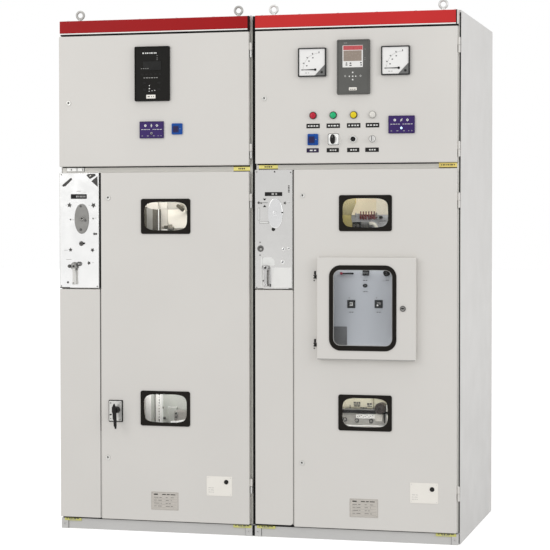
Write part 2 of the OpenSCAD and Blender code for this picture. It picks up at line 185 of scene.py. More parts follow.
M["blue_dark"] = surf("blue_module_dark", (44, 36, 78), 0.4, var=0.12, vscale=50.0, spec=0.2)
M["glow"] = surf("pilot_glow", (190, 225, 255), 0.3, var=0.02, vscale=40.0, emis=0.9)
M["dial"] = surf("meter_dial", (242, 241, 239), 0.35, var=0.015, vscale=30.0, bump=0.02)
M["meter_frame"] = surf("meter_frame", (44, 44, 44), 0.45, spec=0.2, var=0.08, vscale=30.0, bump=0.15, bscale=1000)
M["meter_corner"] = surf("meter_corner", (104, 104, 103), 0.45, var=0.05, vscale=30.0, bump=0.2, bscale=1100)
M["lamp_red"] = surf("lens_red", (186, 8, 46), 0.20, var=0.08, vscale=70.0, coat=0.15, spec=0.3, bump=0.05, emis=0.05)
M["lamp_green"] = surf("lens_green", (14, 174, 112), 0.20, var=0.08, vscale=70.0, coat=0.15, spec=0.3, bump=0.05, emis=0.05)
M["lamp_yellow"] = surf("lens_yellow", (228, 204, 8), 0.20, var=0.06, vscale=70.0, coat=0.15, spec=0.3, bump=0.05, emis=0.05)
M["lamp_white"] = surf("lens_white", (226, 223, 216), 0.18, var=0.03, vscale=70.0, coat=0.5, bump=0.05)
# yellow tape that glows a little: painted light on labels that sit in shade
M["yellow"] = surf("yellow_tape", (250, 238, 140), 0.42, var=0.05, vscale=40.0, bump=0.1, bscale=500, emis=0.10)
M["yellow_dull"] = surf("yellow_tape_dull", (206, 204, 118), 0.5, var=0.10, vscale=60.0, bump=0.1, bscale=500)
# white that glows a little: painted light on labels, plates, rings and facets that sit in shade
M["glow_white"] = surf("white_sheet_painted_glow", (255, 255, 252), 0.40, var=0.01, vscale=18.0, bump=0.06, bscale=700, emis=0.16)
M["alu"] = surf("anodised_plate", (184, 179, 172), 0.40, metal=0.55, var=0.04, vscale=12.0, stretch=(1, 1, 25), bump=0.06, bscale=400)
M["breaker"] = surf("blue_grey_satin", (181, 185, 191), 0.42, var=0.03, vscale=5.0, bump=0.1, bscale=900, bdist=0.00012)
M["breaker_dark"] = surf("dark_grey_plate", (98, 99, 100), 0.45, var=0.05, vscale=14.0, bump=0.12)
M["red_tip"] = surf("red_grip", (150, 45, 62), 0.4, var=0.08, vscale=60.0)
M["resin_red"] = surf("cast_resin_red", (98, 46, 48), 0.28, var=0.12, vscale=24.0, coat=0.3, bump=0.08)
M["resin_cream"] = surf("cast_resin_cream", (200, 196, 176), 0.36, var=0.06, vscale=16.0, bump=0.12, bscale=500)
# cream sheet that glows a little: painted light inside the cubicle
M["cream"] = surf("cream_sheet_painted_glow", (251, 247, 236), 0.45, var=0.02, vscale=6.0, bump=0.1, emis=0.06)
M["pale_sheet"] = surf("pale_steel_sheet", (193, 195, 189), 0.42, metal=0.15, var=0.06, vscale=9.0, bump=0.1)
M["column"] = surf("galvanised_section", (182, 182, 178), 0.38, metal=0.35, var=0.10, vscale=20.0, stretch=(1, 1, 0.3), detail=5)
M["olive"] = surf("yellow_passivated_steel", (131, 124, 95), 0.36, metal=0.25, var=0.12, vscale=14.0, detail=5, bump=0.08)
M["beige_grey"] = surf("pale_beige_sheet", (234, 228, 213), 0.45, var=0.03, vscale=6.0, bump=0.1)
M["beige"] = surf("beige_sheet", (236, 225, 199), 0.5, var=0.04, vscale=8.0, bump=0.1)
M["lump_pale"] = surf("grey_olive_casting", (152, 147, 136), 0.5, var=0.14, vscale=40.0, bump=0.2, bscale=500)
M["lump"] = surf("dark_olive_casting", (84, 80, 68), 0.5, var=0.14, vscale=40.0, bump=0.2, bscale=500)
M["column_dark"] = surf("galvanised_shade", (98, 95, 86), 0.45, metal=0.2, var=0.10, vscale=20.0, stretch=(1, 1, 0.3), detail=5)
M["column_white"] = surf("moulded_link", (196, 194, 187), 0.45, var=0.05, vscale=20.0, bump=0.1)
M["column_blue"] = surf("pale_grey_section", (228, 227, 224), 0.42, var=0.05, vscale=12.0, stretch=(1, 1, 0.3))
M["warm_sheet"] = surf("warm_grey_sheet", (226, 222, 214), 0.45, var=0.04, vscale=9.0)
M["box_grey"] = surf("taupe_box", (162, 158, 153), 0.45, var=0.06, vscale=20.0)
M["olive_dark"] = surf("yellow_passivated_shade", (152, 142, 92), 0.4, metal=0.2, var=0.12, vscale=14.0, detail=5)
M["barrier"] = surf("grey_barrier", (148, 150, 154), 0.45, var=0.06, vscale=10.0)
M["beam"] = surf("beam_steel", (172, 171, 166), 0.42, metal=0.3, var=0.08, vscale=14.0, stretch=(1, 1, 3))
M["brown"] = surf("brown_black_resin", (52, 45, 40), 0.35, var=0.12, vscale=24.0, spec=0.3)
M["copper"] = surf("tinned_bar", (150, 147, 142), 0.34, metal=0.7, var=0.08, vscale=16.0)
M["floor_in"] = surf("compartment_sheet", (190, 190, 186), 0.42, metal=0.2, var=0.06, vscale=12.0)
M["foam"] = surf("door_seal_foam", (52, 51, 50), 0.9, var=0.15, vscale=120.0, bump=0.5, bscale=900, bdist=0.0004, spec=0.2)
M["wall_white"] = surf("pale_grey_lining", (193, 190, 182), 0.5, var=0.03, vscale=6.0, bump=0.1)
M["gap_grey"] = surf("sill_shadow_strip", (84, 83, 81), 0.8, var=0.12, vscale=60.0, spec=0.2)
M["band_end"] = surf("band_end_shadow", (34, 18, 18), 0.6, var=0.12, vscale=60.0, spec=0.1)
# shaded copy of the eye steel: painted shade
M["eye_dark"] = surf("forged_eye_steel_painted_shade", (168, 167, 164), 0.38, metal=0.6, var=0.12, vscale=50.0, rvar=0.1, bump=0.15, bscale=420)
# warm yellow tape that glows a little: painted light
M["yellow_warm"] = surf("yellow_tape_warm", (246, 224, 128), 0.45, var=0.07, vscale=40.0, bump=0.1, bscale=500, emis=0.05)
M["gap"] = surf("black_joint_strip_and_gap_shade", (20, 20, 20), 0.8, var=0.2, vscale=60.0, spec=0.2)


def clear_pane(name, tint):
    """Clear polycarbonate: see-through, with a faint uneven haze."""
    m = surf(name, tint, 0.05, var=0.02, vscale=14.0, rvar=0.02, bump=0.02, bscale=40, spec=0.6)
    nt = m.node_tree
    b = next(n for n in nt.nodes if n.type == "BSDF_PRINCIPLED")
    tc = next(n for n in nt.nodes if n.type == "TEX_COORD")
    nz = nt.nodes.new("ShaderNodeTexNoise")
    nz.inputs["Scale"].default_value = 9.0
    nz.inputs["Detail"].default_value = 4.0
    nt.links.new(tc.outputs["Object"], nz.inputs["Vector"])
    mr = nt.nodes.new("ShaderNodeMapRange")
    mr.inputs["From Min"].default_value = 0.3
    mr.inputs["From Max"].default_value = 0.7
    mr.inputs["To Min"].default_value = 0.006
    mr.inputs["To Max"].default_value = 0.024
    nt.links.new(nz.outputs["Fac"], mr.inputs["Value"])
    nt.links.new(mr.outputs["Result"], b.inputs["Alpha"])
    return m


M["pane"] = clear_pane("clear_pane", (225, 232, 235))
M["pane_big"] = clear_pane("clear_pane_large", (214, 222, 230))


# --------------------------------------------------------------------------- geometry

class Shape:
    """A flat outline in the x-z plane; pts(d) gives it drawn in by d all round."""

    def __init__(self, fn):
        self.pts = fn


def rect(x0, x1, z0, z1, r=2.0, seg=4):
    """Rectangle with round corners; r is one radius, or four: lower left, lower right, upper right, upper left."""
    rs = (r,) * 4 if not isinstance(r, (tuple, list)) else r

    def pts(d=0.0):
        out = []
        cs = [(x0 + d, z0 + d, 180), (x1 - d, z0 + d, 270), (x1 - d, z1 - d, 0), (x0 + d, z1 - d, 90)]
        sg = [(1, 1), (-1, 1), (-1, -1), (1, -1)]
        for (cx, cz, a0), (sx, sz), rr in zip(cs, sg, rs):
            q = max(rr - d, 0.05)
            for k in range(seg + 1):
                a = math.radians(a0 + 90 * k / seg)
                out.append((cx + sx * q + q * math.cos(a), cz + sz * q + q * math.sin(a)))
        return out
    return Shape(pts)


def crect(cx, cz, w, h, r=2.0, seg=4):
    return rect(cx - w / 2, cx + w / 2, cz - h / 2, cz + h / 2, r, seg)


def superell(cx, cz, w, h, n=2.0, seg=48):
    def pts(d=0.0):
        a, b = w / 2 - d, h / 2 - d
        out = []
        for k in range(seg):
            t = 2 * PI * k / seg
            c, s = math.cos(t), math.sin(t)
            out.append((cx + a * math.copysign(abs(c) ** (2 / n), c), cz + b * math.copysign(abs(s) ** (2 / n), s)))
        return out
    return Shape(pts)


def poly(*ps):
    """A plain polygon of given points, listed anticlockwise; drawn in by mitres."""
    ps = list(ps)

    def pts(d=0.0):
        if not d:
            return ps
        n, out = len(ps), []
        for i in range(n):
            a, b, c = Vector(ps[i - 1]), Vector(ps[i]), Vector(ps[(i + 1) % n])
            e1, e2 = (b - a).normalized(), (c - b).normalized()
            n1, n2 = Vector((-e1.y, e1.x)), Vector((-e2.y, e2.x))
            m = (n1 + n2) / (1 + n1.dot(n2))
            out.append((b.x + m.x * d, b.y + m.y * d))
        return out
    return Shape(pts)


def _fill(loops, flip):
    """Triangles over an outline and its holes; loops are lists of (index, x, z)."""
    flat = [p for lp in loops for p in lp]
    tris = tessellate_polygon([[Vector((x, z, 0)) for _, x, z in lp] for lp in loops])
    out = []
    for t in tris:
        a, b, c = (flat[i] for i in t)
        s = (b[1] - a[1]) * (c[2] - a[2]) - (c[1] - a[1]) * (b[2] - a[2])
        if abs(s) < 1e-9:
            continue
        ids = [a[0], b[0], c[0]]
        out.append(ids if (s > 0) != flip else ids[::-1])
    return out


def _sweep(shapes_profiles, caps):
    """Rings of each outline along its profile of (inset, y), joined by quads, with flat caps."""
    V, Fc, rings = [], [], []
    for shape, hole, prof in shapes_profiles:
        mine = []
        for d, y in prof:
            pts = shape.pts(-d if hole else d)
            if hole:
                pts = pts[::-1]
            base = len(V)
            V += [(x, y, z) for x, z in pts]
            mine.append((base, len(pts)))
        for (a, n), (b, _) in zip(mine, mine[1:]):
            Fc += [(a + i, b + i, b + (i + 1) % n, a + (i + 1) % n) for i in range(n)]
        rings.append(mine)
    for picks, flip in caps:
        loops = []
        for s, k in picks:
            a, n = rings[s][k]
            loops.append([(a + i, V[a + i][0], V[a + i][2]) for i in range(n)])
        Fc += _fill(loops, flip)
    return V, Fc


def _round(y0, r, seg):
    return [(r * (1 - math.cos(PI / 2 * (1 - k / seg))), y0 + r * (1 - math.sin(PI / 2 * (1 - k / seg)))) for k in range(seg + 1)]


def plate(shape, y0, y1, r=1.0, seg=2, holes=(), rb=0.0):
    """Plate that faces the viewer, rounded along its front edges (and its back ones by rb)."""
    r = min(r, 0.9 * (y1 - y0))
    prof = _round(y0, r, seg) if r > 0 else [(0.0, y0)]
    if rb > 0:
        tail = [(d, y1 - (y - y0)) for d, y in reversed(_round(y0, rb, seg))]
        prof = prof + tail
    else:
        prof = prof + [(0.0, y1)]
    sp = [(shape, False, prof)] + [(h, True, prof) for h in holes]
    k = len(prof) - 1
    caps = [([(s, 0) for s in range(len(sp))], False), ([(s, k) for s in range(len(sp))], True)]
    return _sweep(sp, caps)


def tray(shape, y0, depth, r=3.0, t=2.0, lip=0.0, holes=(), seg=3):
    """Folded sheet tray: rounded front edges, side flanges, turned-in lips, open behind."""
    prof = _round(y0, r, seg) + [(0.0, y0 + depth)]
    if lip > t:
        prof += [(lip, y0 + depth), (lip, y0 + depth - t), (t, y0 + depth - t)]
    else:
        prof += [(t, y0 + depth)]
    prof += [(t, y0 + t)]
    hp = _round(y0, min(1.0, 0.45 * t), 1) + [(0.0, y0 + t)]
    sp = [(shape, False, prof)] + [(h, True, hp) for h in holes]
    caps = [([(s, 0) for s in range(len(sp))], False),
            ([(0, len(prof) - 1)] + [(s, len(hp) - 1) for s in range(1, len(sp))], True)]
    return _sweep(sp, caps)


def frame_tube(shape, hole, y0, y1, r=1.5, seg=3):
    """Frame with an outer and an inner outline, rounded in front."""
    return plate(shape, y0, y1, r, seg, holes=[hole])


def rbox(x0, x1, y0, y1, z0, z1, r=1.0, seg=2):
    bm = bmesh.new()
    bmesh.ops.create_cube(bm, size=1.0)
    for v in bm.verts:
        v.co = Vector((x0 + (v.co.x + 0.5) * (x1 - x0), y0 + (v.co.y + 0.5) * (y1 - y0), z0 + (v.co.z + 0.5) * (z1 - z0)))
    r = min(r, 0.45 * min(x1 - x0, y1 - y0, z1 - z0))
    if r > 0:
        bmesh.ops.bevel(bm, geom=bm.edges[:], offset=r, offset_type="OFFSET", segments=seg, profile=0.5, affect="EDGES", clamp_overlap=True)
    bm.verts.index_update()
    g = [tuple(v.co) for v in bm.verts], [[v.index for v in f.verts] for f in bm.faces]
    bm.free()
    return g


def lathe(cx, cz, prof, seg=36, axis="Y", cy=0.0, a0=0.0):
    """Turned shape: prof is (radius, distance along the axis), front to back for Y, top to bottom for Z."""
    V, Fc, prev = [], [], None
    for r, h in prof:
        base = len(V)
        n = 1 if r < 1e-6 else seg
        for i in range(n):
            a = a0 + 2 * PI * i / seg
            if axis == "Y":
                V.append((cx + r * math.cos(a), h, cz + r * math.sin(a)))
            else:
                V.append((cx + r * math.cos(a), cy + r * math.sin(a), h))
        if prev is not None:
            pb, pn = prev
            for i in range(seg):
                j = (i + 1) % seg
                if pn == 1 and n == 1:
                    continue
                if pn == 1:
                    Fc.append((pb, base + i, base + j))
                elif n == 1:
                    Fc.append((pb + i, base, pb + j))
                else:
                    Fc.append((pb + i, base + i, base + j, pb + j))
        elif n > 1:
            Fc.append(tuple(base + i for i in range(seg)))
        prev = (base, n)
    if prev[1] > 1:
        Fc.append(tuple(prev[0] + seg - 1 - i for i in range(seg)))
    return V, Fc


def torus(c, R, r, seg=40, ring=14, a0=0.0, a1=2 * PI):
    """Ring that stands in the x-z plane."""
    closed = abs(a1 - a0 - 2 * PI) < 1e-6
    V, Fc = [], []
    n = seg if closed else seg + 1
    for i in range(n):
        a = a0 + (a1 - a0) * i / seg
        for k in range(ring):
            t = 2 * PI * k / ring
            q = R + r * math.cos(t)
            V.append((c[0] + q * math.cos(a), c[1] + r * math.sin(t), c[2] + q * math.sin(a)))
    for i in range(seg if closed else seg):
        j = (i + 1) % n
        for k in range(ring):
            m = (k + 1) % ring
            Fc.append((i * ring + k, j * ring + k, j * ring + m, i * ring + m))
    return V, Fc


def loft(sections, n=20, power=3.2):
    """Solid through sections across z: each is (z, centre x, centre y, half width, half depth)."""
    V, Fc = [], []
    for z, cx, cy, hx, hy in sections:
        for k in range(n):
            t = 2 * PI * k / n
            c, s = math.cos(t), math.sin(t)
            V.append((cx + hx * math.copysign(abs(c) ** (2 / power), c), cy + hy * math.copysign(abs(s) ** (2 / power), s), z))
    up = sections[-1][0] > sections[0][0]
    for q in range(len(sections) - 1):
        a, b = q * n, (q + 1) * n
        for i in range(n):
            j = (i + 1) % n
            Fc.append((a + i, a + j, b + j, b + i) if up else (a + i, b + i, b + j, a + j))
    first, last = tuple(range(n)), tuple((len(sections) - 1) * n + i for i in range(n))
    Fc.append(first[::-1] if up else first)
    Fc.append(last if up else last[::-1])
    return V, Fc


def tube(path, r, seg=12):
    """Round bar along a path of points."""
    V, Fc = [], []
    ps = [Vector(p) for p in path]
    up = Vector((0, 0, 1))
    for i, p in enumerate(ps):
        d = (ps[min(i + 1, len(ps) - 1)] - ps[max(i - 1, 0)]).normalized()
        u = d.cross(up)
        if u.length < 1e-3:
            u = d.cross(Vector((0, 1, 0)))
        u.normalize()
        w = d.cross(u)
        for k in range(seg):
            a = 2 * PI * k / seg
            V.append(tuple(p + r * (math.cos(a) * u + math.sin(a) * w)))
    for i in range(len(ps) - 1):
        for k in range(seg):
            m = (k + 1) % seg
            Fc.append((i * seg + k, i * seg + m, (i + 1) * seg + m, (i + 1) * seg + k))
    Fc.append(tuple(range(seg))[::-1])
    Fc.append(tuple((len(ps) - 1) * seg + k for k in range(seg)))
    return V, Fc


def extrude_z(section, z0, z1, slope=0.0):
    """Thin folded section in the x-y plane, carried up from z0 to z1; slope tips the top end."""
    n = len(section)
    V = [(x, y, z0) for x, y in section] + [(x, y, z1 + slope * (x - section[0][0])) for x, y in section]
    Fc = [(i, (i + 1) % n, n + (i + 1) % n, n + i) for i in range(n)]
    lo = [(i, section[i][0], section[i][1]) for i in range(n)]
    Fc += _fill([lo], True)
    hi = [(n + i, section[i][0], section[i][1]) for i in range(n)]
    Fc += _fill([hi], False)
    return V, Fc


def strip_section(line, t):
    """Closed section of sheet thickness t along a bent line of (x, y) points."""
    ps = [Vector(p) for p in line]
    n = len(ps)
    off = []
    for i in range(n):
        e = []
        if i > 0:
            e.append((ps[i] - ps[i - 1]).normalized())
        if i < n - 1:
            e.append((ps[i + 1] - ps[i]).normalized())
        ns = [Vector((-q.y, q.x)) for q in e]
        if len(ns) == 1:
            off.append(ps[i] + ns[0] * t)
        else:
            off.append(ps[i] + (ns[0] + ns[1]) / (1 + ns[0].dot(ns[1])) * t)
    pts = [tuple(p) for p in ps] + [tuple(p) for p in reversed(off)]
    a = sum(pts[i][0] * pts[(i + 1) % len(pts)][1] - pts[(i + 1) % len(pts)][0] * pts[i][1] for i in range(len(pts)))
    return pts if a > 0 else pts[::-1]


def moved(geo, mat4):
    return [tuple(mat4 @ Vector(v)) for v in geo[0]], geo[1]


def spun(geo, cx, cz, deg):
    """Turned in the plane of the doors about a point."""
    m = Matrix.Translation((cx, 0, cz)) @ Matrix.Rotation(math.radians(-deg), 4, "Y") @ Matrix.Translation((-cx, 0, -cz))
    return moved(geo, m)


def behind(geo):
    """Mirrored to face the back: front parts made about y = 0 become parts on the back face."""
    return [(x, -y, z) for x, y, z in geo[0]], [tuple(reversed(f)) for f in geo[1]]


class Piece:
    """One named mesh that rides a body and may stand for CAD nodes."""

    def __init__(self, name, body, replaces=(), slot=None):
        self.name, self.body, self.repl, self.slot = name, body, replaces, slot
        self.v, self.f, self.mi, self.mats = [], [], [], []

    def add(self, geo, mat):
        m = M[mat]
        if m not in self.mats:
            self.mats.append(m)
        k, o = self.mats.index(m), len(self.v)
        self.v += geo[0]
        for f in geo[1]:
            self.f.append([i + o for i in f])
            self.mi.append(k)
        return self

    def done(self, angle=40.0):
        me = bpy.data.meshes.new(self.name)
        me.from_pydata([(x * 0.001, y * 0.001, z * 0.001) for x, y, z in self.v], [], self.f)
        for m in self.mats:
            me.materials.append(m)
        me.polygons.foreach_set("material_index", self.mi)
        me.polygons.foreach_set("use_smooth", [True] * len(self.f))
        me.update()
        me.set_sharp_from_angle(angle=math.radians(angle))
        o = bpy.data.objects.new(self.name, me)
        scene.collection.objects.link(o)
        wn = o.modifiers.new("even_shading", "WEIGHTED_NORMAL")
        wn.keep_sharp = True
        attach(o, self.body)
        if self.repl:
            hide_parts(*self.repl)
        return o


# small things that repeat ---------------------------------------------------

def screw(p, cx, cz, y, r=4.0, h=2.0, mat="dull_chrome", head="cross", turn=20.0):
    """Pan-head screw on a face that looks to the front."""
    p.add(lathe(cx, cz, [(0, y - h), (r * 0.62, y - h * 0.96), (r * 0.88, y - h * 0.7), (r, y - h * 0.25), (r, y)], 20), mat)
    if head == "cross":
        for a in (0, 90):
            p.add(spun(rbox(cx - r * 0.6, cx + r * 0.6, y - h - 0.06, y - h + 0.4, cz - r * 0.13, cz + r * 0.13, 0), cx, cz, turn + a), "dark")
    elif head == "slot":
        p.add(spun(rbox(cx - r * 0.85, cx + r * 0.85, y - h - 0.06, y - h + 0.4, cz - r * 0.13, cz + r * 0.13, 0), cx, cz, turn), "dark")


def hexbolt(cx, cz, y, r=8.0, h=5.0, washer=1.35, turn=0.1):
    """Hexagon bolt with washer on a face that looks to the front; two geometries."""
    w = lathe(cx, cz, [(r * washer * 0.9, y - 1.6), (r * washer, y - 1.2), (r * washer, y)], 24)
    b = lathe(cx, cz, [(0, y - 1.5 - h), (r * 0.8, y - 1.5 - h), (r, y - 1.5 - h * 0.85), (r, y - 1.4)], 6, a0=turn)
    return w, b


def dashes(p, x0, x1, z, h, y, mat, pattern, th=0.25):
    """A row of short plain bars between x0 and x1: the pattern gives bar and gap widths in turn."""
    tot = float(sum(pattern))
    x = x0
    for i, q in enumerate(pattern):
        w = (x1 - x0) * q / tot
        if i % 2 == 0:
            p.add(rbox(x, x + w, y - th, y + 0.1, z - h / 2, z + h / 2, 0), mat)
        x += w


def camlock(p, cx, cz, y, r=11.2):
    """Chrome quarter-turn lock: dished face and small dark key slot."""
    p.add(lathe(cx, cz, [(0, y - 2.3), (r * 0.60, y - 2.4), (r * 0.72, y - 3.0), (r * 0.92, y - 2.6), (r, y - 1.0), (r, y)], 32), "lock_face")
    p.add(spun(rbox(cx - 2.7, cx + 2.7, y - 3.5, y - 2.0, cz - 2.4, cz + 4.8, 0.4), cx, cz, 20), "black")


def ringlock(p, cx, cz, y, r=12.6):
    """Grey ring lock: dark ring round a paler face with an oval key plug."""
    p.add(lathe(cx, cz, [(0, y - 2.0), (r * 0.62, y - 2.2), (r * 0.74, y - 3.0), (r * 0.92, y - 2.6), (r, y - 1.0), (r, y)], 32), "ink_mid")
    p.add(torus((cx, y - 2.4, cz), r * 0.82, r * 0.13, 36, 10), "hub_dark")
    p.add(plate(superell(cx - 0.6, cz + 0.8, r * 1.0, r * 0.46, 2.2, 24), y - 3.6, y - 2.0, 0.4, 1), "dark")


def pip(p, cx, cz, y, r, mat, seg=18, h=0.8):
    p.add(lathe(cx, cz, [(0, y - h), (r * 0.8, y - h), (r, y - h * 0.4), (r, y)], seg), mat)


def knuckle(p, x, y, z0, z1, r=5.0, mat="steel"):
    c = 0.8
    p.add(lathe(x, 0, [(r - c - 1.2, z1), (r - c, z1 - 0.05), (r, z1 - c), (r, z0 + c), (r - c, z0)], 20, "Z", cy=y), mat)


DOOR_PIN = {"L": -15.0, "R": 869.0}


def door_half(p, side, zs, edge, mat="body"):
    """Upper hinge halves on a door: knuckle, leaf and pin head."""
    px, py = DOOR_PIN[side], F + 10
    for z in zs:
        knuckle(p, px, py, z + 31, z + 61, mat=mat)
        p.add(rbox(edge - 3, px, py - 2, py + 2, z + 31.5, z + 60.5, 0.6), mat)
        p.add(lathe(px, 0, [(0, z + 62.6), (2.6, z + 62.5), (3.1, z + 61.8), (3.1, z + 60.5)], 16, "Z", cy=py), "chrome")


# --------------------------------------------------------------------------- structure

BODY = "cubicles"
INS_H, LOW_H = (1600, 2025), (182, 1390)
OP_R = (94, 1369)

# outer sheets with rounded edges, and the two sheets between the cubicles
p = Piece("side_sheets", BODY, ("side_walls",), "body_paint")
for x0, x1 in ((-874, -871), (871, 874)):
    p.add(rbox(x0, x1, P, B, 0, 2200, 1.3, 3), "side")
for x0, x1 in ((-3.2, -0.2), (0.2, 3.2)):
    p.add(rbox(x0, x1, Q - 6, B, 45, 2182, 0.8, 1), "side")
p.done()

# posts: round-edged bars
p = Piece("left_posts", BODY, ("left_front_posts",), "zinc_steel")
for x0, x1, z1 in ((-870, -830, 2182), (-712, -672, 1520)):
    p.add(rbox(x0, x1, P, Q, 48, z1, 2.0, 2), "rail")
p.add(rbox(-52, -12, P, Q, 48, 2182, 1.2, 3), "post")
p.done()
p = Piece("right_posts", BODY, ("right_front_posts",), "body_paint")
for x0, x1, z1 in ((4, 44, 2182), (146, 186, 1520), (826, 866, 2182)):
    p.add(rbox(x0, x1, P, Q, 48, z1, 2.0, 3), "rail")
p.done()
p = Piece("front_rails", BODY, ("cross_rails",), "body_paint")
for a, b, l in ((-830, -52, -684), (44, 826, 174)):
    p.add(rbox(a, b, P, Q, 1520, 1600, 2.0, 2), "rail")
    p.add(rbox(a, b, P, Q, 2102, 2182, 2.0, 2), "rail")
    p.add(rbox(a, l - 28, P, Q, 48, 98, 2.0, 2), "rail")
    p.add(rbox(l + 12, b, P, Q, 48, 98, 2.0, 2), "rail")
p.done()

# black and grey strips: a seal in the joint between the two cubicles, and painted shade in the gaps round the doors,
# panels and bands
p = Piece("joint_seal_and_gap_shade_strips", BODY)
p.add(rbox(-12.4, 3.6, P + 0.8, Q - 8, 46, 2181, 0.5, 2), "gap")
p.add(rbox(-10.6, 3.6, P - 0.7, P + 0.3, 2178, 2198.8, 0.3, 1), "gap")
p.add(rbox(-12.6, -0.4, F + 20, F + 50, 0.5, 45, 1.5, 2), "gap")
p.add(rbox(-689.7, -685.4, F + 3, P, 430, 1046, 1.2, 2), "gap")
p.add(rbox(-689.4, -686.3, F + 2.4, P, 53, 430, 0.8, 2), "ink_mid")
p.add(rbox(-692.6, -685.4, F + 3, P, 1048, 1544, 1.2, 2), "gap")
p.add(rbox(168.8, 173.2, F + 3, P, 56, 1050, 1.2, 2), "gap")
p.add(rbox(168.7, 170.2, F + 1.6, F + 20, 57, 1045, 0.5, 1), "body")
p.add(rbox(168.3, 173.2, F + 3, P, 1052, 1550, 1.2, 2), "gap")
p.add(rbox(866.4, 870.7, P + 2, P + 14, 50, 1380, 1.2, 2), "gap")
p.add(rbox(866.4, 870.6, P + 0.6, P + 14, 1381, 2180, 0.8, 2), "rail")
p.add(plate(poly((866.8, 1381), (871.6, 1381), (873.9, 2190), (868.9, 2190)), P - 0.9, P + 0.4, 0.15, 1), "gap")
for x0, x1 in ((-868, -23), (6, 865)):
    p.add(rbox(x0, x1, F + 5, P, 2135.6, 2140.9, 1.2, 2), "gap")
for x0, x1, z1, m in ((-868, -690, 51.4, "gap"), (-689, -22, 47.4, "gap_grey"), (5, 168, 54.4, "gap"), (169, 862, 47.4, "gap_grey")):
    p.add(rbox(x0, x1, F + 16, P - 0.5, 45.2, z1, 0.6, 1), m)
# painted shadow of the upper doors' lower edges on the rails
for x0, x1, z1 in ((-868, -24, 1572), (8, 860, 1577)):
    p.add(rbox(x0, x1, P - 0.7, P + 0.4, z1 - 4.6, z1 + 3, 0.3, 1), "gap")
p.done()

# frame halves of the door hinges
p = Piece("hinge_halves", BODY, ("frame_hinges",), "zinc_steel")
for side, mat, b in (("L", "post", 3), ("R", "rail", -4)):
    px, py = DOOR_PIN[side], F + 10
    for z in INS_H + LOW_H:
        knuckle(p, px, py, z, z + 30, mat="steel" if side == "L" else "body")
        p.add(rbox(px - 2, px + 2, py, P, z + 0.5, z + 29.5, 0.5), mat)
        p.add(rbox(px - 16, px + b, P - 2, P, z - 4, z + 34, 0.7), mat)
        for dz in (4, 26):
            screw(p, px - 10, z + dz, P - 2, 2.4, 1.2)
# long leaf below the lowest hinge of the left cubicle
p.add(plate(poly((-25.5, 84), (-22, 84), (-19.5, 180), (-28, 180)), P - 1.8, P, 0.5, 1), "body")
p.done()

# lifting eyes
p = Piece("lifting_eye_set", BODY, ("lifting_eyes",), "chrome")
# the two left eyes take a shaded copy of the eye steel: painted shade
for x in (-804, -88, 67, 791):
    for y in (F + 80, B - 80):
        p.add(lathe(x, 0, [(7.2, 2218), (8, 2216), (8, 2206), (12.2, 2204.4), (13, 2203.4), (13, 2200)], 28, "Z", cy=y), "eye_dark" if x < 0 else "eye_steel")
        p.add(torus((x, y, 2231), 16, 5.2), "eye_dark" if x < 0 else "eye_steel")
p.done()

# roof bolts and a raised panel on each roof
p = Piece("roof_fixings", BODY)
for i, (a, b) in enumerate(((-871, -0.2), (0.2, 871))):
    for x in [a + 24 + k * (b - a - 48) / 5 for k in range(6)]:
        for y in (P + 16, B - 16):
            p.add(lathe(x, 0, [(0, 2205), (4.6, 2205), (5.6, 2204.2), (5.6, 2201.2), (9, 2201.1), (9.4, 2200.6), (9.4, 2199.8)], 6, "Z", cy=y), "zinc")
    for y in [P + 16 + k * (B - P - 32) / 5 for k in range(1, 5)]:
        for x in (a + 24, b - 24):
            p.add(lathe(x, 0, [(0, 2205), (4.6, 2205), (5.6, 2204.2), (5.6, 2201.2), (9, 2201.1), (9.4, 2200.6), (9.4, 2199.8)], 6, "Z", cy=y), "zinc")
    p.add(rbox(a + 46, b - 46, P + 40, B - 40, 2199.6, 2201.6, 0.8, 1), "side")
p.done()

# bolted covers on the back
p = Piece("rear_covers", BODY)
for a, b in ((-870, -4), (4, 870)):
    for z0, z1 in ((70, 760), (768, 1470), (1478, 2170)):
        g = tray(rect(a + 12, b - 12, z0, z1, 4), -2.4, 2.6, 1.6, 1.2)
        p.add(moved(behind(g), Matrix.Translation((0, B - 0.1, 0))), "side")
        n = 4
        for k in range(n + 1):
            x = a + 28 + k * (b - a - 56) / n
            for z in (z0 + 16, z1 - 16):
                for g in hexbolt(x, z, -2.4, 5.0, 3.6):
                    p.add(moved(behind(g), Matrix.Translation((0, B - 0.1, 0))), "zinc")
        for z in (z0 + (z1 - z0) * 0.33, z0 + (z1 - z0) * 0.67):
            for x in (a + 28, b - 28):
                for g in hexbolt(x, z, -2.4, 5.0, 3.6):
                    p.add(moved(behind(g), Matrix.Translation((0, B - 0.1, 0))), "zinc")
p.done()

# red bands with a pale lower lip
p = Piece("top_bands", BODY, ("red_bands",), "red_paint")
for x0, x1, m in ((-870, -23, "red"), (6, 865, "red_bright")):
    p.add(tray(rect(x0, x1, 2146.6, 2199, 2.0), F, 27, 2.0, 2.0), m)
    p.add(rbox(x0, x1, F + 0.2, F + 25, 2141.3, 2146.3, 1.4, 2), "lip")
p.add(rbox(-27.0, -22.7, F - 0.4, F + 25, 2141.0, 2199.3, 0.4, 1), "band_end")
p.add(rbox(856.6, 861.0, F - 0.4, F + 1.0, 2141.0, 2199.3, 0.3, 1), "band_end")
p.add(rbox(861.0, 865.5, F - 0.4, F + 25, 2141.0, 2199.3, 0.4, 1), "body")
p.done()

